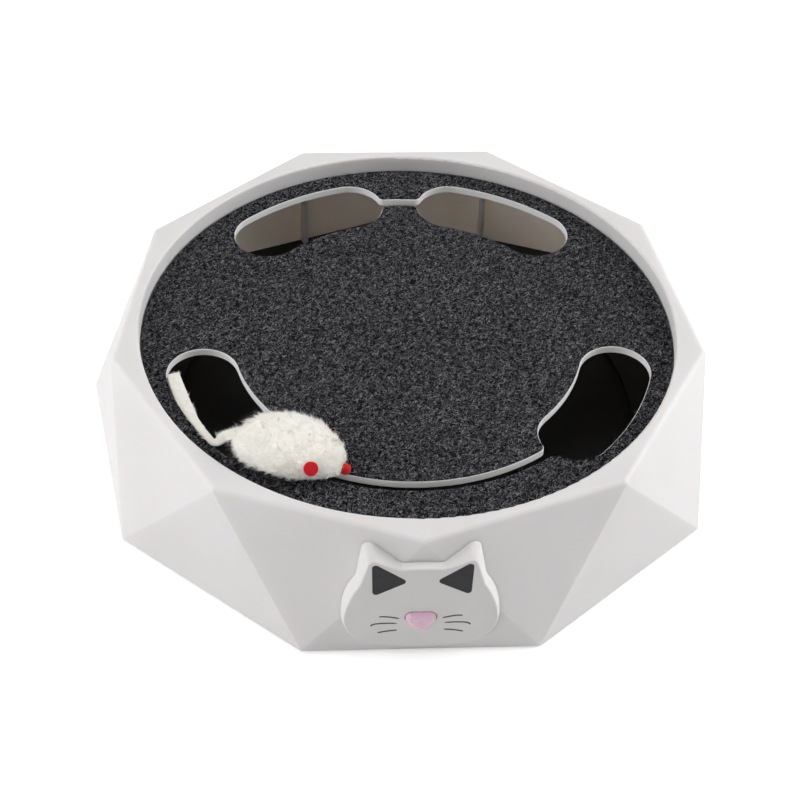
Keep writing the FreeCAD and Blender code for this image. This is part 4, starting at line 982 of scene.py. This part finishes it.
WHISKERS = (((8.6, 20.5), (13.5, 21.7), (16.8, 21.7)),
            ((9.4, 17.7), (17.5, 17.7), (19.8, 16.2)),
            ((9.4, 13.7), (13.3, 13.3), (17.3, 12.3)))
WHISKER_WIDTH = 0.85 * MM
WHISKER_RISE = 0.07 * MM
# The cat face's front: its foot on the shell, and how it tapers away from there
FACE_FOOT = Vector((-0.8 * MM, AXIS.y - 134.376 * MM, SHELL_FOOT))
FACE_TAPER = math.radians(2.92)
FACE_RISE = 2.1 * MM / math.cos(FACE_TAPER)
FACE_LEAN = math.tan(FACE_TAPER)
# Points along a line, and across it: place in half widths and height in rises
WHISKER_STEPS = 22
WHISKER_SECTION = ((-1, -0.3), (-0.8, 0.6), (0, 1.0), (0.8, 0.6), (1, -0.3))


def on_face(across, up):
    """From places on the cat face's front to the frame. Zero height is the shell's lower rim."""
    return FACE_FOOT + FACE_ACROSS * across + FACE_UP * up + FACE_OUT * (FACE_RISE + FACE_LEAN * up)


def whiskers():
    """Three thin lines of ink on each side, with round ends."""
    points, faces = [], []
    last, sides = WHISKER_STEPS - 1, len(WHISKER_SECTION)
    for side in (-1, 1):
        for line in WHISKERS:
            a, b, c = (Vector((side * x * MM, h * MM, 0.0)) for x, h in line)
            middle = 2 * b - (a + c) / 2
            path = [a * (1 - t) ** 2 + middle * 2 * t * (1 - t) + c * t * t
                    for t in np.linspace(0, 1, WHISKER_STEPS)]
            first = len(points)
            for k, p in enumerate(path):
                ahead = (path[min(k + 1, last)] - path[max(k - 1, 0)]).normalized()
                across = Vector((-ahead.y, ahead.x, 0.0))
                end = min(k, last - k) / 2.0
                round_end = math.sqrt(max(0.04, 1 - (1 - min(end, 1)) ** 2))
                half = WHISKER_WIDTH / 2 * min(1.0, round_end)
                half *= 1 + 0.05 * noise.noise(Vector((p.x, p.y, side * 0.01)) / (1.2 * MM))
                for u, rise in WHISKER_SECTION:
                    q = p + across * half * u
                    points.append(on_face(q.x, q.y) + FACE_OUT * WHISKER_RISE * rise)
            for k in range(last):
                for u in range(sides - 1):
                    i = first + k * sides + u
                    faces.append((i, i + 1, i + sides + 1, i + sides))
            faces.append(tuple(first + u for u in range(sides)))
            faces.append(tuple(first + last * sides + u for u in range(sides)))
    new_piece("whisker_lines", points, faces, INK, "base")


# Floor, light and camera

FLOOR_REACH = 6.0
WORLD_LIGHT = 0.11
# What lifts the pale floor to white where no shadow lies
FLOOR_LIFT = 0.4
# Each lamp's place and size in metres, and its power in watts. All of them face LAMP_AIM
LAMPS = {
    "right_softbox": ((1.3, 0.15, 0.75), 1.0, 17.8),
    "left_softbox": ((-1.35, 0.05, 0.8), 1.0, 12.0),
    "top_softbox": ((0.0, 0.3, 1.6), 1.4, 3.9),
    "front_fill": ((-1.0, -1.0, 0.7), 1.0, 5.0),
}
LAMP_AIM = Vector((0.0, 0.0, 0.03))
SENSOR_WIDTH = 36.0


def seen_rays(tree):
    """One for what the camera sees, also in a reflection or through something clear, else zero."""
    rays = tree.nodes.new("ShaderNodeLightPath").outputs
    seen = rays["Is Camera Ray"]
    for name in ("Is Glossy Ray", "Is Transmission Ray"):
        most = tree.nodes.new("ShaderNodeMath")
        most.operation = "MAXIMUM"
        tree.links.new(seen, most.inputs[0])
        tree.links.new(rays[name], most.inputs[1])
        seen = most.outputs[0]
    return seen


def studio():
    """A pale floor, a white room round it that lights little, and the lamps."""
    floor_mesh = bpy.data.meshes.new("floor")
    corners = ((-1, -1), (1, -1), (1, 1), (-1, 1))
    floor_mesh.from_pydata([(x * FLOOR_REACH, y * FLOOR_REACH, 0) for x, y in corners], [],
                           [(0, 1, 2, 3)])
    floor = bpy.data.objects.new("floor", floor_mesh)
    bpy.context.scene.collection.objects.link(floor)
    r = Recipe("pale_floor", Specular_IOR_Level=0.1, Roughness=0.9)
    r.use("Base Color", r.mix(r.noise(0.4, 2), (0.93, 0.93, 0.93), (0.95, 0.95, 0.95)))
    r.shader.inputs["Emission Color"].default_value = (1.0, 1.0, 1.0, 1.0)
    r.use("Emission Strength", r.maths("MULTIPLY", seen_rays(r.tree), FLOOR_LIFT))
    floor_mesh.materials.append(r.material)

    world = bpy.data.worlds.new("studio")
    bpy.context.scene.world = world
    world.use_nodes = True
    tree = world.node_tree
    ground = tree.nodes["Background"]
    level = tree.nodes.new("ShaderNodeMapRange")
    level.inputs["To Min"].default_value = WORLD_LIGHT
    level.inputs["To Max"].default_value = 1.0
    tree.links.new(seen_rays(tree), level.inputs["Value"])
    tree.links.new(level.outputs[0], ground.inputs["Strength"])
    ground.inputs["Color"].default_value = (1.0, 1.0, 1.0, 1.0)

    for name, (at, size, power) in LAMPS.items():
        data = bpy.data.lights.new(name, "AREA")
        data.shape = "SQUARE"
        data.size = size
        data.energy = power
        lamp = bpy.data.objects.new(name, data)
        lamp.location = at
        lamp.rotation_euler = (LAMP_AIM - Vector(at)).to_track_quat("-Z", "Y").to_euler()
        bpy.context.scene.collection.objects.link(lamp)


def camera():
    """The camera as fitted to the photograph, in which the toy stands slightly turned."""
    e = CAMERA_ELEVATION
    back = Vector((0.0, -math.cos(e), math.sin(e)))
    level, rise = Vector((1.0, 0.0, 0.0)), Vector((0.0, math.sin(e), math.cos(e)))
    right = level * math.cos(CAMERA_ROLL) + rise * math.sin(CAMERA_ROLL)
    up = rise * math.cos(CAMERA_ROLL) - level * math.sin(CAMERA_ROLL)
    turn = Matrix.Rotation(-TOY_TURN, 3, "Z")
    at = turn @ (back * CAMERA_DISTANCE + Vector((CAMERA_ASIDE, 0.0, CAMERA_LIFT)))
    at += Vector((AXIS.x, AXIS.y, SHELL_FOOT))
    axes = Matrix([turn @ right, turn @ up, turn @ back]).transposed()
    data = bpy.data.cameras.new("camera")
    data.sensor_width = SENSOR_WIDTH
    data.lens = FOCAL_PX / PHOTO_SIDE * SENSOR_WIDTH
    made = bpy.data.objects.new("camera", data)
    made.matrix_world = Matrix.Translation(at) @ axes.to_4x4()
    bpy.context.scene.collection.objects.link(made)
    bpy.context.scene.camera = made


camera()
studio()
dress_cad_nodes()
mat, felt_outlines, felt_inward = felt_mat()
felt_fuzz(mat)
felt_edge_fuzz(felt_outlines, felt_inward)
hide = mouse_hide()
mouse_pile(hide)
stray_hairs(hide)
mouse_eyes()
mouse_nose()
mouse_tail()
whiskers()

bpy.context.scene.view_settings.view_transform = "Standard"
